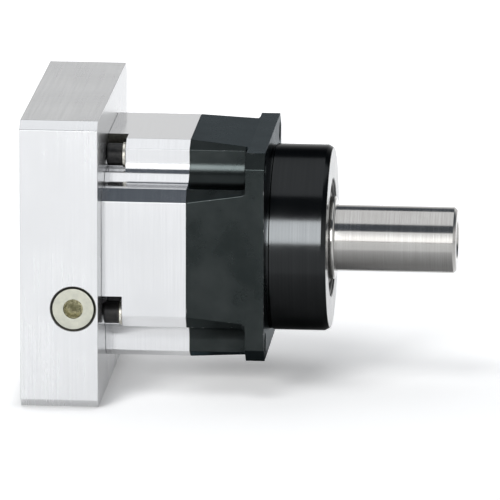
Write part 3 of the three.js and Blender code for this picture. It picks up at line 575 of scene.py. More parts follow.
def make_output_shaft():
    """Shaft with its seal land and bearing seats, the carrier's front disc and its pillars."""
    disc_back, disc_front = CARRIER_FRONT
    flange_r = 29.0
    rear_x = REAR_BEARING["x"][0] - FIT
    rear_r = REAR_BEARING["inner"]
    step_x = -17.0
    mouth_r = 9.0
    thread_r, drill_r = 5.9, 5.1
    thread_x = SHAFT_END - 4.2
    body = turned([
        (disc_back, 0), (disc_back, CARRIER_R - 0.5), (disc_back + 0.5, CARRIER_R),
        (disc_front - 0.5, CARRIER_R), (disc_front, CARRIER_R - 0.5), (disc_front, flange_r),
        (rear_x, flange_r - 0.2), (rear_x, rear_r), (step_x - 0.5, rear_r), (step_x, rear_r - 0.5),
        (step_x, SEAL_LAND_R), (SEAL_LAND_END - 1.0, SEAL_LAND_R),
        (SEAL_LAND_END - 0.6, SEAL_LAND_R - 0.15), (SEAL_LAND_END - 0.1, SEAL_LAND_R - 0.65),
        (SEAL_LAND_END, SEAL_LAND_R - 1.0), (SEAL_LAND_END, SHAFT_R + 0.4),
        (SEAL_LAND_END + 0.12, SHAFT_R + 0.12), (SEAL_LAND_END + 0.4, SHAFT_R),
        (SHAFT_END - 1.6, SHAFT_R), (SHAFT_END - 1.35, SHAFT_R - 0.08),
        (SHAFT_END - 0.15, SHAFT_R - 1.15), (SHAFT_END, SHAFT_R - 1.45),
        (SHAFT_END, mouth_r + 0.15), (SHAFT_END - 0.15, mouth_r),
        (thread_x, thread_r + 0.4), (thread_x, thread_r),
        *threads(thread_x - 0.2, SHAFT_END - 27, thread_r, drill_r, 1.75),
        (SHAFT_END - 30, drill_r), (SHAFT_END - 33, 0),
    ])
    pillars = [rod(CARRIER_REAR_FACE + FIT, disc_back + OVER, PILLAR_R, on_circle(PILLAR_AT_R, a), 32)
               for a in PILLAR_ANGLES]
    join(body, *pillars)
    pin_holes = []
    for a in PLANET_ANGLES:
        at = on_circle(CENTRE_DISTANCE, a)
        pin_holes.append(rod(disc_back - OVER, disc_back + PIN_SOCKET_DEPTH, PIN_R + FIT, at, SMALL))
    screw_depth = 11.0
    screw_holes = []
    for a in PILLAR_ANGLES:
        at = on_circle(PILLAR_AT_R, a)
        screw_holes.append(rod(
            CARRIER_REAR_FACE - OVER, CARRIER_REAR_FACE + screw_depth, CARRIER_SCREW_R + FIT, at, FINE,
        ))
    return cut(body, *pin_holes, *screw_holes)


def make_output_seal():
    """Radial shaft seal: case with a rounded rim, an oil lip and a dust lip in front."""
    back, front = SEAL_LO[0], SEAL_HI[0]
    lip = SEAL_LAND_R + FIT
    case = [
        (back, SEAL_R - 0.4), (back + 0.4, SEAL_R), (front - 0.5, SEAL_R), (front - 0.15, SEAL_R - 0.15),
        (front, SEAL_R - 0.5), (front, SEAL_R - 2.0), (front - 0.25, SEAL_R - 2.4),
        (front - 1.5, SEAL_R - 2.9), (front - 1.6, SEAL_R - 3.3),
    ]
    dust_lip = [
        (front - 1.6, lip + 3.3), (front - 1.3, lip + 2.6), (front - 0.6, lip + 1.9),
        (front - 0.25, lip + 1.3), (front - 0.25, lip + 0.5), (front - 0.45, lip), (front - 0.8, lip),
    ]
    oil_lip = [
        (front - 1.8, lip + 1.1), (front - 2.9, lip + 1.3), (back + 1.7, lip), (back + 1.3, lip),
        (back + 0.6, lip + 1.5), (back + 0.6, lip + 2.7), (front - 2.4, lip + 3.9),
    ]
    inside = [(front - 2.4, SEAL_R - 2.2), (back, SEAL_R - 2.0)]
    return turned(case + dust_lip + oil_lip + inside, 160, ring=True)


# ------------------------------------------------------------ screws and washers

def make_cap_screw(head_x, seat_x, end_x, at, r=SCREW_HEAD_R, socket=5.0):
    """Socket head cap screw along +X: head with turning marks, plain shank and thread."""
    thread_x = max(seat_x + 4, end_x - 18)
    shank_r = SCREW_R - 0.05
    corner = 1.2
    mark = 0.06
    rounding = [math.pi / 2 * i / 5 for i in range(6)]
    screw = turned([
        (head_x, 0),
        *[(head_x + corner * (1 - math.cos(a)), r - corner * (1 - math.sin(a))) for a in rounding],
        (head_x + 2.0, r), (head_x + 2.2, r - mark), (head_x + 2.4, r), (head_x + 4.1, r),
        (head_x + 4.3, r - mark), (head_x + 4.5, r), (seat_x - 0.3, r), (seat_x, r - 0.3),
        (seat_x, SCREW_R + 0.2), (seat_x + 0.3, shank_r), (thread_x, shank_r),
        *threads(thread_x, end_x - 0.6, SCREW_R - 0.5, SCREW_R, 1.0), (end_x, SCREW_R - 0.9), (end_x, 0),
    ], 72, at=at)
    depth = head_x + 3.2
    drill_r = socket / 2 - 0.15
    mouth = turned([
        (head_x - OVER, 0), (head_x - OVER, socket / 2 + 1.5), (head_x + 0.3, socket / 2 + 0.2),
        (head_x + 0.3, 0),
    ], SMALL, at=at)
    drill = turned([
        (head_x + OVER, 0), (head_x + OVER, drill_r), (depth, drill_r), (depth + 0.8, 0),
    ], SMALL, at=at)
    return cut(screw, mouth, prism(hexagon(socket, at), head_x - OVER, depth), drill)


def make_washer(at):
    x0, x1 = WASHER_LO[0], WASHER_HI[0]
    r, rim = WASHER_R, 0.3
    bore, edge = SCREW_R + FIT, 0.15
    return turned([
        (x0, bore + edge), (x0, r - rim), (x0 + rim * 0.3, r - rim * 0.3), (x0 + rim, r),
        (x1 - rim, r), (x1, r - rim), (x1, bore + edge), (x1 - edge, bore), (x0 + edge, bore),
    ], 64, ring=True, at=at)


# ------------------------------------------------------------ input side

def make_input_hub():
    """Hub that holds the sun gear, with a split neck round the motor's shaft."""
    back, front = HUB_LO[0], HUB_HI[0]
    shoulder_x = INPUT_BEARING["x"][0] - FIT
    seat_r = INPUT_BEARING["inner"]
    body = turned([
        (back, 0), (back, HUB_NECK_R - 0.6), (back + 0.6, HUB_NECK_R),
        (HUB_COLLAR_X - 0.5, HUB_NECK_R), (HUB_COLLAR_X - 0.1, HUB_NECK_R + 0.1),
        (HUB_COLLAR_X, HUB_NECK_R + 0.5), (HUB_COLLAR_X, HUB_COLLAR_R - 0.5),
        (HUB_COLLAR_X + 0.5, HUB_COLLAR_R), (shoulder_x, HUB_COLLAR_R), (shoulder_x, seat_r),
        (front - 0.6, seat_r), (front, seat_r - 0.6), (front, SUN_SEAT_R + 0.5),
        (front - 0.5, SUN_SEAT_R), (SUN_SEAT_X, SUN_SEAT_R), (SUN_SEAT_X, 0),
    ], 96)
    bore = turned([
        (back - OVER, 0), (back - OVER, MOTOR_SHAFT_R + 2), (back + 1, MOTOR_SHAFT_R),
        (MOTOR_SHAFT_STOP_X - 0.8, MOTOR_SHAFT_R), (MOTOR_SHAFT_STOP_X, MOTOR_SHAFT_R - 0.8),
        (MOTOR_SHAFT_STOP_X, 0),
    ], 96)
    slit_half, slit_end = 0.8, -86.0
    reach = HUB_NECK_R + OVER
    slits = []
    for degrees in (45, 135):
        slit = block((back - OVER, -reach, -slit_half), (slit_end, reach, slit_half))
        slits.append(about_x(slit, math.radians(degrees)))
    return cut(body, bore, *slits)


def make_clamp_ring():
    """Ring slit on one side, with a way through it for the screw that squeezes it."""
    x0, x1 = CLAMP_LO[0], CLAMP_HI[0]
    bore = HUB_NECK_R + FIT
    edge = 0.6
    ring = turned([
        (x0, bore + edge), (x0, CLAMP_R - edge), (x0 + edge, CLAMP_R), (x1 - edge, CLAMP_R),
        (x1, CLAMP_R - edge), (x1, bore + edge), (x1 - edge, bore), (x0 + edge, bore),
    ], ring=True)
    head_way = rod(0, CLAMP_R + CLAMP_SEAT_Y + 2, SCREW_HEAD_R + FIT, sides=SMALL)
    shank_way_end_y = 17.0
    shank_way = rod(CLAMP_SEAT_Y - shank_way_end_y, OVER, SCREW_R + FIT, sides=SMALL)
    slit = block((x0 - OVER, -1, -CLAMP_R - OVER), (x1 + OVER, 1, 0))
    return cut(ring, slit, at_plug(head_way, CLAMP_SEAT_Y), at_plug(shank_way, CLAMP_SEAT_Y))


def make_clamp_screw():
    head_y, end_y = -19.2, 15.0
    screw = make_cap_screw(head_y, CLAMP_SEAT_Y - FIT, end_y, (0, 0))
    turn = Matrix.Rotation(math.pi / 2, 4, "Z")
    return moved(screw, Matrix.Translation((CLAMP_SCREW_X, 0, CLAMP_SCREW_Z)) @ turn)


# ------------------------------------------------------------ rolling elements

def make_balls(bearing):
    """One row of balls, clear of both races."""
    middle = sum(bearing["x"]) / 2
    pitch_r = (bearing["inner"] + bearing["outer"]) / 2
    race_wall = (bearing["outer"] - bearing["inner"]) * 0.3
    groove = race_wall * 0.4
    clearance = 0.15 + FIT
    ball_r = (bearing["outer"] - bearing["inner"]) / 2 - race_wall + groove - clearance
    count = int(2 * math.pi * pitch_r / (ball_r * 2.5))
    balls = []
    for k in range(count):
        bm = bmesh.new()
        bmesh.ops.create_icosphere(bm, subdivisions=3, radius=ball_r)
        y, z = on_circle(pitch_r, 2 * math.pi * k / count)
        bmesh.ops.translate(bm, verts=bm.verts, vec=(middle, y, z))
        balls.append(into_object(bm))
    return merged(balls)


def make_needles(angle):
    lo, hi = node_box("planet_needles_1")
    roller_r = 1.3
    at_r = PIN_R + FIT + roller_r + 0.02
    count = int(2 * math.pi * at_r / (2 * roller_r + 0.15))
    centre = Vector(on_circle(CENTRE_DISTANCE, angle))
    rollers = []
    for k in range(count):
        y, z = on_circle(at_r, 2 * math.pi * k / count)
        rollers.append(turned([
            (lo[0], 0), (lo[0], roller_r - 0.3), (lo[0] + 0.3, roller_r),
            (hi[0] - 0.3, roller_r), (hi[0], roller_r - 0.3), (hi[0], 0),
        ], 20, at=(centre.x + y, centre.y + z)))
    return merged(rollers)


# ------------------------------------------------------------ materials

# reach of the painted edge shade on the plate, and of the chips and painted edge highlight on the black
# housing
EDGE_MARK_REACH = 0.0006      # metres, on the large pieces


class Shader:
    """A Principled material while its nodes are being added."""

    def __init__(self, name, **sockets):
        self.material = bpy.data.materials.new(name)
        self.material.use_nodes = True
        self.tree = self.material.node_tree
        self.surface = self.tree.nodes["Principled BSDF"]
        self.place = self.tree.nodes.new("ShaderNodeTexCoord").outputs["Object"]
        for socket, value in sockets.items():
            self.surface.inputs[socket.replace("_", " ")].default_value = value

    def node(self, kind, inputs=(), **settings):
        made = self.tree.nodes.new("ShaderNode" + kind)
        for key, value in settings.items():
            setattr(made, key, value)
        for key, value in dict(inputs).items():
            if isinstance(value, bpy.types.NodeSocket):
                self.tree.links.new(value, made.inputs[key])
            else:
                made.inputs[key].default_value = value
        return made

    def noise(self, frequency, detail=3.0, roughness=0.55):
        """Noise with its own number of cells a metre along each axis."""
        scaled = self.node("Mapping", {"Vector": self.place, "Scale": frequency})
        made = self.node("TexNoise", {
            "Vector": scaled.outputs["Vector"], "Scale": 1.0, "Detail": detail, "Roughness": roughness,
        })
        return made.outputs["Fac"]

    def spread(self, value, low, high, to_low=0.0, to_high=1.0):
        made = self.node("MapRange", {
            "Value": value, "From Min": low, "From Max": high, "To Min": to_low, "To Max": to_high,
        })
        return made.outputs["Result"]

    def sum(self, a, b, operation="ADD"):
        return self.node("Math", {0: a, 1: b}, operation=operation).outputs["Value"]

    def tint(self, factor, first, second):
        """The first colour where the factor is 0, the second where it is 1."""
        made = self.node("Mix", {"Factor": factor}, data_type="RGBA")
        for socket, value in zip(made.inputs[6:8], (first, second)):
            if isinstance(value, bpy.types.NodeSocket):
                self.tree.links.new(value, socket)
            else:
                socket.default_value = (*value, 1.0)
        return made.outputs[2]

    def edges(self, radius):
        """0 on flat faces, rising to 1 on edges sharper than the radius."""
        rounded = self.node("Bevel", {"Radius": radius}, samples=4).outputs["Normal"]
        true = self.node("NewGeometry").outputs["Normal"]
        likeness = self.node("VectorMath", {0: rounded, 1: true}, operation="DOT_PRODUCT")
        return self.spread(likeness.outputs["Value"], 0.995, 0.9)

    def grazing(self, red, green, blue):
        """The colour that glancing reflections are multiplied by."""
        self.surface.inputs["Specular Tint"].default_value = (red, green, blue, 1)

    def colour(self, socket):
        self.tree.links.new(socket, self.surface.inputs["Base Color"])

    def roughness(self, socket):
        self.tree.links.new(socket, self.surface.inputs["Roughness"])

    def bump(self, height, distance):
        made = self.node("Bump", {"Height": height, "Distance": distance, "Strength": 1.0})
        self.tree.links.new(made.outputs["Normal"], self.surface.inputs["Normal"])


def metal(name, dark, light, rough, grain, grain_depth, blotch=25.0):
    """A worked metal: tone and roughness drift in blotches, and follow a grain.

    grain is the number of grain cells a metre along X, Y and Z.
    """
    made = Shader(name, Metallic=1.0)
    cloud = made.noise((blotch,) * 3, 4.0, 0.6)
    lines = made.noise(grain, 2.0, 0.6)
    blend = made.sum(made.spread(cloud, 0.3, 0.7), made.spread(lines, 0.3, 0.7), "MULTIPLY")
    made.colour(made.tint(made.sum(blend, 1.6, "MULTIPLY"), dark, light))
    made.roughness(made.sum(
        made.spread(cloud, 0.3, 0.7, rough[0], rough[1]),
        made.spread(lines, 0.3, 0.7, -0.03, 0.03),
    ))
    made.bump(lines, grain_depth)
    return made


def plate_aluminium():
    """Plate with fine upright streaks, saw marks on its upper faces, painted shade darkening those upper
    faces, and painted shade along its edges.
    """
    made = metal("plate_aluminium", (0.705, 0.71, 0.72), (0.76, 0.765, 0.775), (0.22, 0.28),
                 (700.0, 14.0, 14.0), 0.000003)
    made.grazing(0.87, 0.87, 0.87)
    face = made.surface.inputs["Base Color"].links[0].from_socket
    normal = made.node("NewGeometry").outputs["Normal"]
    facing_up = made.node("SeparateXYZ", {"Vector": normal}).outputs["Z"]
    saw_marks = made.spread(made.noise((25.0, 1100.0, 25.0), 4.0, 0.7), 0.4, 0.75)
    # saw marks, which also darken the upward faces as painted shade
    saw_marks_and_top_shade = made.sum(saw_marks, made.spread(facing_up, 0.8, 0.95), "MULTIPLY")
    face = made.tint(saw_marks_and_top_shade, face, (0.67, 0.67, 0.66))
    # painted shade: the plate's edges darkened
    made.colour(made.tint(made.edges(EDGE_MARK_REACH), face, (0.55, 0.55, 0.55)))
    return made.material


def body_aluminium():
    """Milled section: faint tool marks across the shaft axis, otherwise bright and smooth."""
    made = metal("body_aluminium", (0.70, 0.705, 0.715), (0.75, 0.755, 0.765), (0.1, 0.16),
                 (1100.0, 25.0, 25.0), 0.000005, 30.0)
    made.grazing(0.87, 0.87, 0.87)
    return made.material


def black_anodised():
    """Black anodised casting: satin, with a mottle, and lighter here and there along its edges, as chips
    and as painted edge highlight.
    """
    made = Shader("black_anodised", Metallic=1.0)
    made.grazing(0.44, 0.47, 0.49)
    cloud = made.noise((45.0, 45.0, 45.0), 5.0, 0.65)
    fine = made.noise((1800.0, 1800.0, 1800.0), 2.0, 0.5)
    chips = made.noise((420.0, 420.0, 420.0), 2.0, 0.5)
    base = made.tint(made.spread(cloud, 0.35, 0.65), (0.015, 0.0185, 0.0185), (0.0225, 0.026, 0.026))
    # chips along the edges, which also serve as painted edge highlight
    chips_and_edge_highlight = made.sum(made.edges(EDGE_MARK_REACH), made.spread(chips, 0.62, 0.7), "MULTIPLY")
    made.colour(made.tint(made.sum(chips_and_edge_highlight, 0.8, "MULTIPLY"), base, (0.5, 0.5, 0.5)))
    made.roughness(made.spread(cloud, 0.3, 0.7, 0.25, 0.32))
    made.bump(fine, 0.00001)
    return made.material


def black_turned(name, grazing, dark, light):
    """Black anodised over a turned surface: fine rings round the shaft's axis."""
    made = Shader(name, Metallic=1.0)
    made.grazing(grazing, grazing, grazing)
    rings = made.noise((1500.0, 12.0, 12.0), 3.0, 0.6)
    cloud = made.noise((80.0, 80.0, 80.0), 4.0, 0.6)
    made.colour(made.tint(made.spread(rings, 0.3, 0.7), dark, light))
    made.roughness(made.spread(cloud, 0.3, 0.7, 0.13, 0.17))
    made.bump(rings, 0.0000015)
    return made.material


def painted_recess_shade():
    """Painted shade for holes, gaps and pocket walls where little light reaches: near-black and a little
    uneven.
    """
    made = Shader("painted_recess_shade", Metallic=0.0)
    cloud = made.noise((900.0, 900.0, 900.0), 3.0, 0.6)
    made.colour(made.tint(made.spread(cloud, 0.35, 0.65), (0.01, 0.01, 0.008), (0.05, 0.047, 0.032)))
    made.roughness(made.spread(cloud, 0.3, 0.7, 0.25, 0.45))
    made.bump(cloud, 0.00003)
    return made.material


def ground_steel():
    """Ground steel: very fine rings of grinding marks round the shaft's axis."""
    return metal("ground_steel", (0.41, 0.40, 0.385), (0.48, 0.475, 0.46), (0.1, 0.16),
                 (2600.0, 40.0, 40.0), 0.000001, 40.0).material


def gear_steel():
    return metal("gear_steel", (0.28, 0.28, 0.285), (0.46, 0.46, 0.465), (0.3, 0.42),
                 (300.0, 600.0, 600.0), 0.00001).material


def bearing_steel():
    return metal("bearing_steel", (0.5, 0.5, 0.505), (0.66, 0.66, 0.665), (0.1, 0.18),
                 (1500.0, 60.0, 60.0), 0.000003).material


def black_steel():
    """Oiled black oxide on screws, worn to grey along the edges."""
    made = Shader("black_steel", Metallic=0.6)
    cloud = made.noise((300.0, 300.0, 300.0), 3.0, 0.6)
    base = made.tint(made.spread(cloud, 0.3, 0.7), (0.012, 0.012, 0.013), (0.035, 0.034, 0.033))
    made.colour(made.tint(made.sum(made.edges(0.0003), 0.5, "MULTIPLY"), base, (0.3, 0.29, 0.28)))
    made.roughness(made.spread(cloud, 0.3, 0.7, 0.28, 0.42))
    made.bump(cloud, 0.00002)
    return made.material


def bright_zinc():
    return metal("bright_zinc", (0.66, 0.63, 0.55), (0.84, 0.82, 0.76), (0.24, 0.34),
                 (500.0, 500.0, 500.0), 0.00001, 120.0).material


def yellow_zinc():
    """Pale yellow chromate over zinc, a little uneven."""
    return metal("yellow_zinc", (0.50, 0.505, 0.44), (0.60, 0.60, 0.51), (0.28, 0.38),
                 (350.0, 350.0, 350.0), 0.00001, 90.0).material


def painted_socket_shade():
    """The plug's chromate made darker inside the socket: painted shade in the recess."""
    return metal("painted_socket_shade", (0.10, 0.095, 0.05), (0.50, 0.47, 0.30), (0.2, 0.35),
                 (700.0, 700.0, 700.0), 0.00003, 170.0).material


def bronze():
    return metal("bronze", (0.42, 0.27, 0.11), (0.62, 0.42, 0.2), (0.3, 0.42),
                 (400.0, 400.0, 400.0), 0.00001).material


def rubber():
    """Black nitrile with a dusting of grease."""
    made = Shader("rubber", Metallic=0.0)
    cloud = made.noise((200.0, 200.0, 200.0), 4.0, 0.6)
    made.colour(made.tint(made.spread(cloud, 0.3, 0.7), (0.012, 0.011, 0.010), (0.03, 0.027, 0.024)))
    made.roughness(made.spread(cloud, 0.3, 0.7, 0.4, 0.6))
    made.bump(cloud, 0.00003)
    return made.material


MATERIALS = {
    "plate_aluminium": plate_aluminium(),
    "body_aluminium": body_aluminium(),
    "black_anodised": black_anodised(),
    "black_pilot": black_turned(
        "black_pilot", 0.47, (0.0235, 0.025, 0.026), (0.029, 0.0305, 0.0315),
    ),
    # painted light: a lighter copy of the pilot's black, for the pilot's end face
    "black_face_painted_light": black_turned(
        "black_face_painted_light", 1.0, (0.07, 0.071, 0.069), (0.09, 0.091, 0.088),
    ),
    "painted_recess_shade": painted_recess_shade(),
    "ground_steel": ground_steel(),
    "gear_steel": gear_steel(),
    "bearing_steel": bearing_steel(),
    "black_steel": black_steel(),
    "bright_zinc": bright_zinc(),
    "yellow_zinc": yellow_zinc(),
    "painted_socket_shade": painted_socket_shade(),
    "bronze": bronze(),
    "rubber": rubber(),
}


# ------------------------------------------------------------ assembly

FINISH_OF = {
    "adapter_plate": "plate_aluminium",
    "gear_housing": "body_aluminium",
    "output_housing": "black_anodised",
    "output_shaft": "ground_steel",
    "input_hub": "ground_steel",
    "planet_pin": "ground_steel",
    "dowel": "ground_steel",
    "output_seal": "rubber",
    "housing_o_ring": "rubber",
    "body_bolt": "black_steel",
    "plate_screw": "black_steel",
    "carrier_screw": "black_steel",
    "clamp_screw": "black_steel",
    "retaining_ring": "black_steel",
    "bearing_nut": "black_steel",
    "body_washer": "bright_zinc",
    "access_plug": "yellow_zinc",
    "front_thrust_washer": "bronze",
    "rear_thrust_washer": "bronze",
    "front_bearing": "bearing_steel",
    "rear_bearing": "bearing_steel",
    "input_bearing": "bearing_steel",
    "planet_needles": "bearing_steel",
}


def finish_of(node):
    """The material slot of a CAD node, by the start of its name."""
    for start, slot in FINISH_OF.items():
        if node.startswith(start):
            return slot
    return "gear_steel"


BODY_OF = {
    node: body
    for body, nodes in frame["record"]["behaviour"]["bodies"].items()
    for node in nodes
}


def area_weighted(obj):
    """Smooth shading that keeps large flat faces flat."""
    normals = obj.modifiers.new("normals", "WEIGHTED_NORMAL")
    normals.weight = 60
    normals.keep_sharp = True


def put(obj, node):
    """Makes a millimetre shape the piece that stands for a CAD node."""
    obj.name = f"{node}_look"
    obj.data.name = obj.name
    obj.data.transform(Matrix.Scale(MM, 4))
    obj.data.polygons.foreach_set("use_smooth", [True] * len(obj.data.polygons))
    obj.data.set_sharp_from_angle(angle=math.radians(40))
    obj.data.materials.clear()
    obj.data.materials.append(MATERIALS[finish_of(node)])
    area_weighted(obj)
    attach(obj, BODY_OF[node])
    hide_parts(node)
    return obj


def painted(obj, material, chosen):
    """Gives a second material to the faces whose centre and normal pass a test."""
    obj.data.materials.append(MATERIALS[material])
    index = len(obj.data.materials) - 1
    for face in obj.data.polygons:
        if chosen(face.center / MM, face.normal):
            face.material_index = index
    return obj


def from_plug_axis(at):
    return math.hypot(at.x - CLAMP_SCREW_X, at.z - CLAMP_SCREW_Z)


def in_access_bore(at, normal):
    """On the wall of the access bore, or on the ledge and thread inside it."""
    if at.y >= -HUB_ROOM_R:
        return False
    reach = from_plug_axis(at)
    on_wall = reach < ACCESS_R + 0.02 and abs(normal.x) + abs(normal.z) > 0.01
    inside = at.y > -PLATE_HALF + 0.1 and reach < ACCESS_R
    return on_wall or inside


def on_pocket_wall(at, normal):
    """On the flat side wall of a bolt pocket."""
    if not GEAR_HOUSING_BACK < at.x < POCKET_END_X - 0.1:
        return False
    for k in QUARTERS:
        y, z = quarter_turned(at.y, at.z, -k)
        if abs(y + POCKET_WALL) < 0.1 and z > POCKET_FLOOR + POCKET_CORNER_R - 0.2:
            return True
    return False


def on_pilot(at, normal):
    return at.x > 0.02 and math.hypot(at.y, at.z) > PILOT_R - 2 and normal.x < 0.9


def on_pilot_face(at, normal):
    return at.x > PILOT_END - 0.3 and normal.x > 0.5


def on_plug_rim(at, normal):
    """On the plug's rim and thread, behind its face."""
    return from_plug_axis(at) > PLUG_R - 0.6 and at.y > -PLATE_HALF + 0.4


def in_plug_socket(at, normal):
    depth = at.y + PLATE_HALF
    return from_plug_axis(at) < 5 and 0.5 < depth < PLUG_LENGTH - 0.5


plate = put(make_adapter_plate(), "adapter_plate")
# painted shade on the wall, ledge and thread of the access bore
painted(plate, "painted_recess_shade", in_access_bore)
gear_housing = put(make_gear_housing(), "gear_housing")
# painted shade on the side wall of each bolt pocket, behind the bolt head
painted(gear_housing, "painted_recess_shade", on_pocket_wall)
output_housing = put(make_output_housing(), "output_housing")
painted(output_housing, "black_pilot", on_pilot)
# painted light: the lighter black on the pilot's end face
painted(output_housing, "black_face_painted_light", on_pilot_face)
plug = put(make_access_plug(), "access_plug")
# painted shade on the plug's rim and thread, in the gap round the plug
painted(plug, "painted_recess_shade", on_plug_rim)
# painted shade inside the plug's hexagon socket
painted(plug, "painted_socket_shade", in_plug_socket)
put(make_output_shaft(), "output_shaft")
put(make_output_seal(), "output_seal")
for k in QUARTERS:
    bolt = make_cap_screw(BOLT_LO[0], BOLT_SEAT_X, BOLT_HI[0], BODY_BOLTS[k], BOLT_HEAD_R)
    put(bolt, f"body_bolt_{k + 1}")
    put(make_washer(BODY_BOLTS[k]), f"body_washer_{k + 1}")
    screw = make_cap_screw(SCREW_LO[0], SCREW_SEAT_X, SCREW_HI[0], PLATE_SCREWS[k])
    put(screw, f"plate_screw_{k + 1}")
put(make_input_hub(), "input_hub")
put(make_clamp_ring(), "clamp_ring")
put(make_clamp_screw(), "clamp_screw")
put(make_balls(FRONT_BEARING), "front_bearing_balls")
put(make_balls(REAR_BEARING), "rear_bearing_balls")
put(make_balls(INPUT_BEARING), "input_bearing_balls")
for k, angle in enumerate(PLANET_ANGLES):
    put(make_needles(angle), f"planet_needles_{k + 1}")

for name, obj in frame["nodes"].items():
    if obj.hide_render:
        continue
    obj.data.materials.clear()
    obj.data.materials.append(MATERIALS[finish_of(name)])
    weld = obj.modifiers.new("weld", "WELD")
    weld.merge_threshold = 0.00001
    edges = obj.modifiers.new("edges", "BEVEL")
    edges.limit_method = "ANGLE"
    edges.angle_limit = math.radians(40)
    edges.width = 0.00015
    edges.segments = 1
    area_weighted(obj)
    obj.data.polygons.foreach_set("use_smooth", [True] * len(obj.data.polygons))


# ------------------------------------------------------------ stage, light, camera

FLOOR_Z = PLATE_LO[2] * MM
# the floor's glow is painted light, rising towards the back; CONTACT_REACH is the reach of its painted
# contact shade
NEAR_GLOW, FAR_GLOW = 0.24, 0.52
GLOW_RISES = (0.02, 0.12)   # metres behind the shaft's axis
CONTACT_REACH = 0.013       # metres over which the floor darkens towards what stands on it
WALL_LEVELS = [             # by the upward part of the direction
    (0.0, (1.0, 1.0, 1.0)),
    (0.26, (0.9, 0.9, 0.9)),
    (0.5, (0.105, 0.12, 0.14)),
]


def make_floor():
    """Plain pale floor, far wider than any view.

    It glows a little, more towards the back, as painted light so that it stays pale, and its colour and
    glow darken close to what stands on it as painted contact shade.
    """
    bm = bmesh.new()
    bmesh.ops.create_grid(bm, x_segments=1, y_segments=1, size=12)
    bmesh.ops.translate(bm, verts=bm.verts, vec=(0, 0, FLOOR_Z))
    floor = into_object(bm, "floor")
    made = Shader("floor_paper", Roughness=1.0)
    paper = made.noise((3.0, 3.0, 3.0))
    # painted contact shade: colour and glow darken where something stands close
    contact = made.node("AmbientOcclusion", {"Distance": CONTACT_REACH}, samples=8).outputs["AO"]
    open_air = made.spread(contact, 0.4, 0.95, 0.66, 1.0)
    white = made.tint(paper, (0.86, 0.86, 0.86), (0.88, 0.88, 0.88))
    made.colour(made.tint(open_air, (0, 0, 0), white))
    made.surface.inputs["Specular IOR Level"].default_value = 0.0
    made.surface.inputs["Emission Color"].default_value = (1, 1, 1, 1)
    behind = made.node("SeparateXYZ", {"Vector": made.place}).outputs["Y"]
    glow = made.sum(made.spread(behind, *GLOW_RISES, NEAR_GLOW, FAR_GLOW), open_air, "MULTIPLY")
    made.tree.links.new(glow, made.surface.inputs["Emission Strength"])
    floor.data.materials.append(made.material)


def make_softbox(name, centre, size, radiance, target=(0, 0, 0), unlit=None):
    """A rectangular light of even brightness, which the camera doesn't see.

    unlit is the kind of reflection it takes no part in: "diffuse", "glossy" or none.
    """
    light = bpy.data.lights.new(name, "AREA")
    light.shape = "RECTANGLE"
    light.size, light.size_y = size
    light.energy = radiance * math.pi * light.size * light.size_y
    obj = bpy.data.objects.new(name, light)
    obj.location = centre
    obj.rotation_mode = "QUATERNION"
    obj.rotation_quaternion = (Vector(target) - Vector(centre)).to_track_quat("-Z", "Y")
    obj.visible_camera = False
    if unlit:
        setattr(obj, "visible_" + unlit, False)
    SCENE.collection.objects.link(obj)
    return obj


def make_flag(x, y, height):
    """A card just above the floor, dark at the back, seen only as a reflection in the shaft: painted shade
    standing in for the shaded floor beneath it.
    """
    card = block((x[0], y[0], 0), (x[1], y[1], 1))
    moved(card, Matrix.Scale(MM, 4))
    moved(card, Matrix.Translation((0, 0, FLOOR_Z + height * MM)))
    card.name = "shaft_flag"
    made = Shader("shaft_flag_painted_shade", Roughness=1.0)
    card_mottle = made.noise((200.0, 200.0, 200.0))
    behind = made.node("SeparateXYZ", {"Vector": made.place}).outputs["Y"]
    fade = 0.12
    fading = made.spread(behind, y[0] * MM, y[0] * MM + fade)
    shade = made.tint(card_mottle, (0.38, 0.38, 0.38), (0.44, 0.44, 0.44))
    made.colour(made.tint(fading, (0.85, 0.85, 0.85), shade))
    card.data.materials.append(made.material)
    card.visible_camera = False
    card.visible_diffuse = False
    card.visible_shadow = False


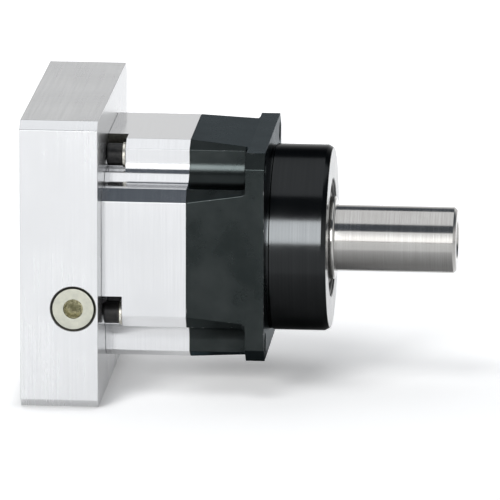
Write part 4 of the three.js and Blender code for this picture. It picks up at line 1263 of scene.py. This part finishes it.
def make_world():
    """Studio walls: pale near the horizon, dark above."""
    world = bpy.data.worlds.new("studio")
    world.use_nodes = True
    SCENE.world = world
    tree = world.node_tree
    direction = tree.nodes.new("ShaderNodeTexCoord").outputs["Generated"]
    split = tree.nodes.new("ShaderNodeSeparateXYZ")
    tree.links.new(direction, split.inputs[0])
    ramp = tree.nodes.new("ShaderNodeValToRGB")
    stops = ramp.color_ramp.elements
    while len(stops) < len(WALL_LEVELS):
        stops.new(1.0)
    for stop, (height, colour) in zip(stops, WALL_LEVELS):
        stop.position = height
        stop.color = (*colour, 1)
    tree.links.new(split.outputs["Z"], ramp.inputs["Fac"])
    tree.links.new(ramp.outputs["Color"], tree.nodes["Background"].inputs["Color"])


make_floor()
# painted shade seen in the shaft: the dark card beneath it
make_flag(x=(-30, 120), y=(-135, 40), height=2)
make_world()
make_softbox("front_softbox", (0.2, -2.3, 0.85), (3.0, 1.45), 1.35, unlit="diffuse")
make_softbox("overhead_softbox", (0.0, 0.22, 1.5), (2.6, 1.9), 1.05, (0, 0.22, 0), "diffuse")
make_softbox("floor_key", (-0.34, -0.75, 1.7), (0.7, 0.7), 6.5, unlit="glossy")
make_softbox("floor_fill", (-0.3, 0.9, 1.8), (1.6, 1.6), 1.2, (0, 0.3, 0), "glossy")
make_softbox("floor_front", (-2.0, -4.0, 2.0), (1.8, 1.4), 22.0, unlit="glossy")
black_key = make_softbox("black_key", (0.2, -2.5, 0.87), (3.0, 1.33), 15.0)
black_pieces = bpy.data.collections.new("black_pieces")
black_pieces.objects.link(output_housing)
black_key.light_linking.receiver_collection = black_pieces


def make_camera():
    """Long lens, almost level: 4.9 degrees round to the right and 13.6 degrees above."""
    yaw, pitch, roll = 0.084672, 0.237461, 0.002349
    distance = 3.870343
    target = Vector((-0.010694, 0, -0.007382))
    forward = Vector((
        -math.sin(yaw) * math.cos(pitch), math.cos(yaw) * math.cos(pitch), -math.sin(pitch),
    ))
    level_right = Vector((math.cos(yaw), math.sin(yaw), 0))
    level_up = level_right.cross(forward)
    right = math.cos(roll) * level_right + math.sin(roll) * level_up
    up = math.cos(roll) * level_up - math.sin(roll) * level_right
    camera = bpy.data.cameras.new("camera")
    camera.lens = 576
    camera.sensor_width = 36
    camera.shift_x = -0.001
    camera.shift_y = 0.001
    camera.clip_start, camera.clip_end = 0.5, 50
    obj = bpy.data.objects.new("camera", camera)
    turn = Matrix((right, up, -forward)).transposed().to_4x4()
    obj.matrix_world = Matrix.Translation(target - forward * distance) @ turn
    SCENE.collection.objects.link(obj)
    SCENE.camera = obj


make_camera()
SCENE.view_settings.view_transform = "Standard"
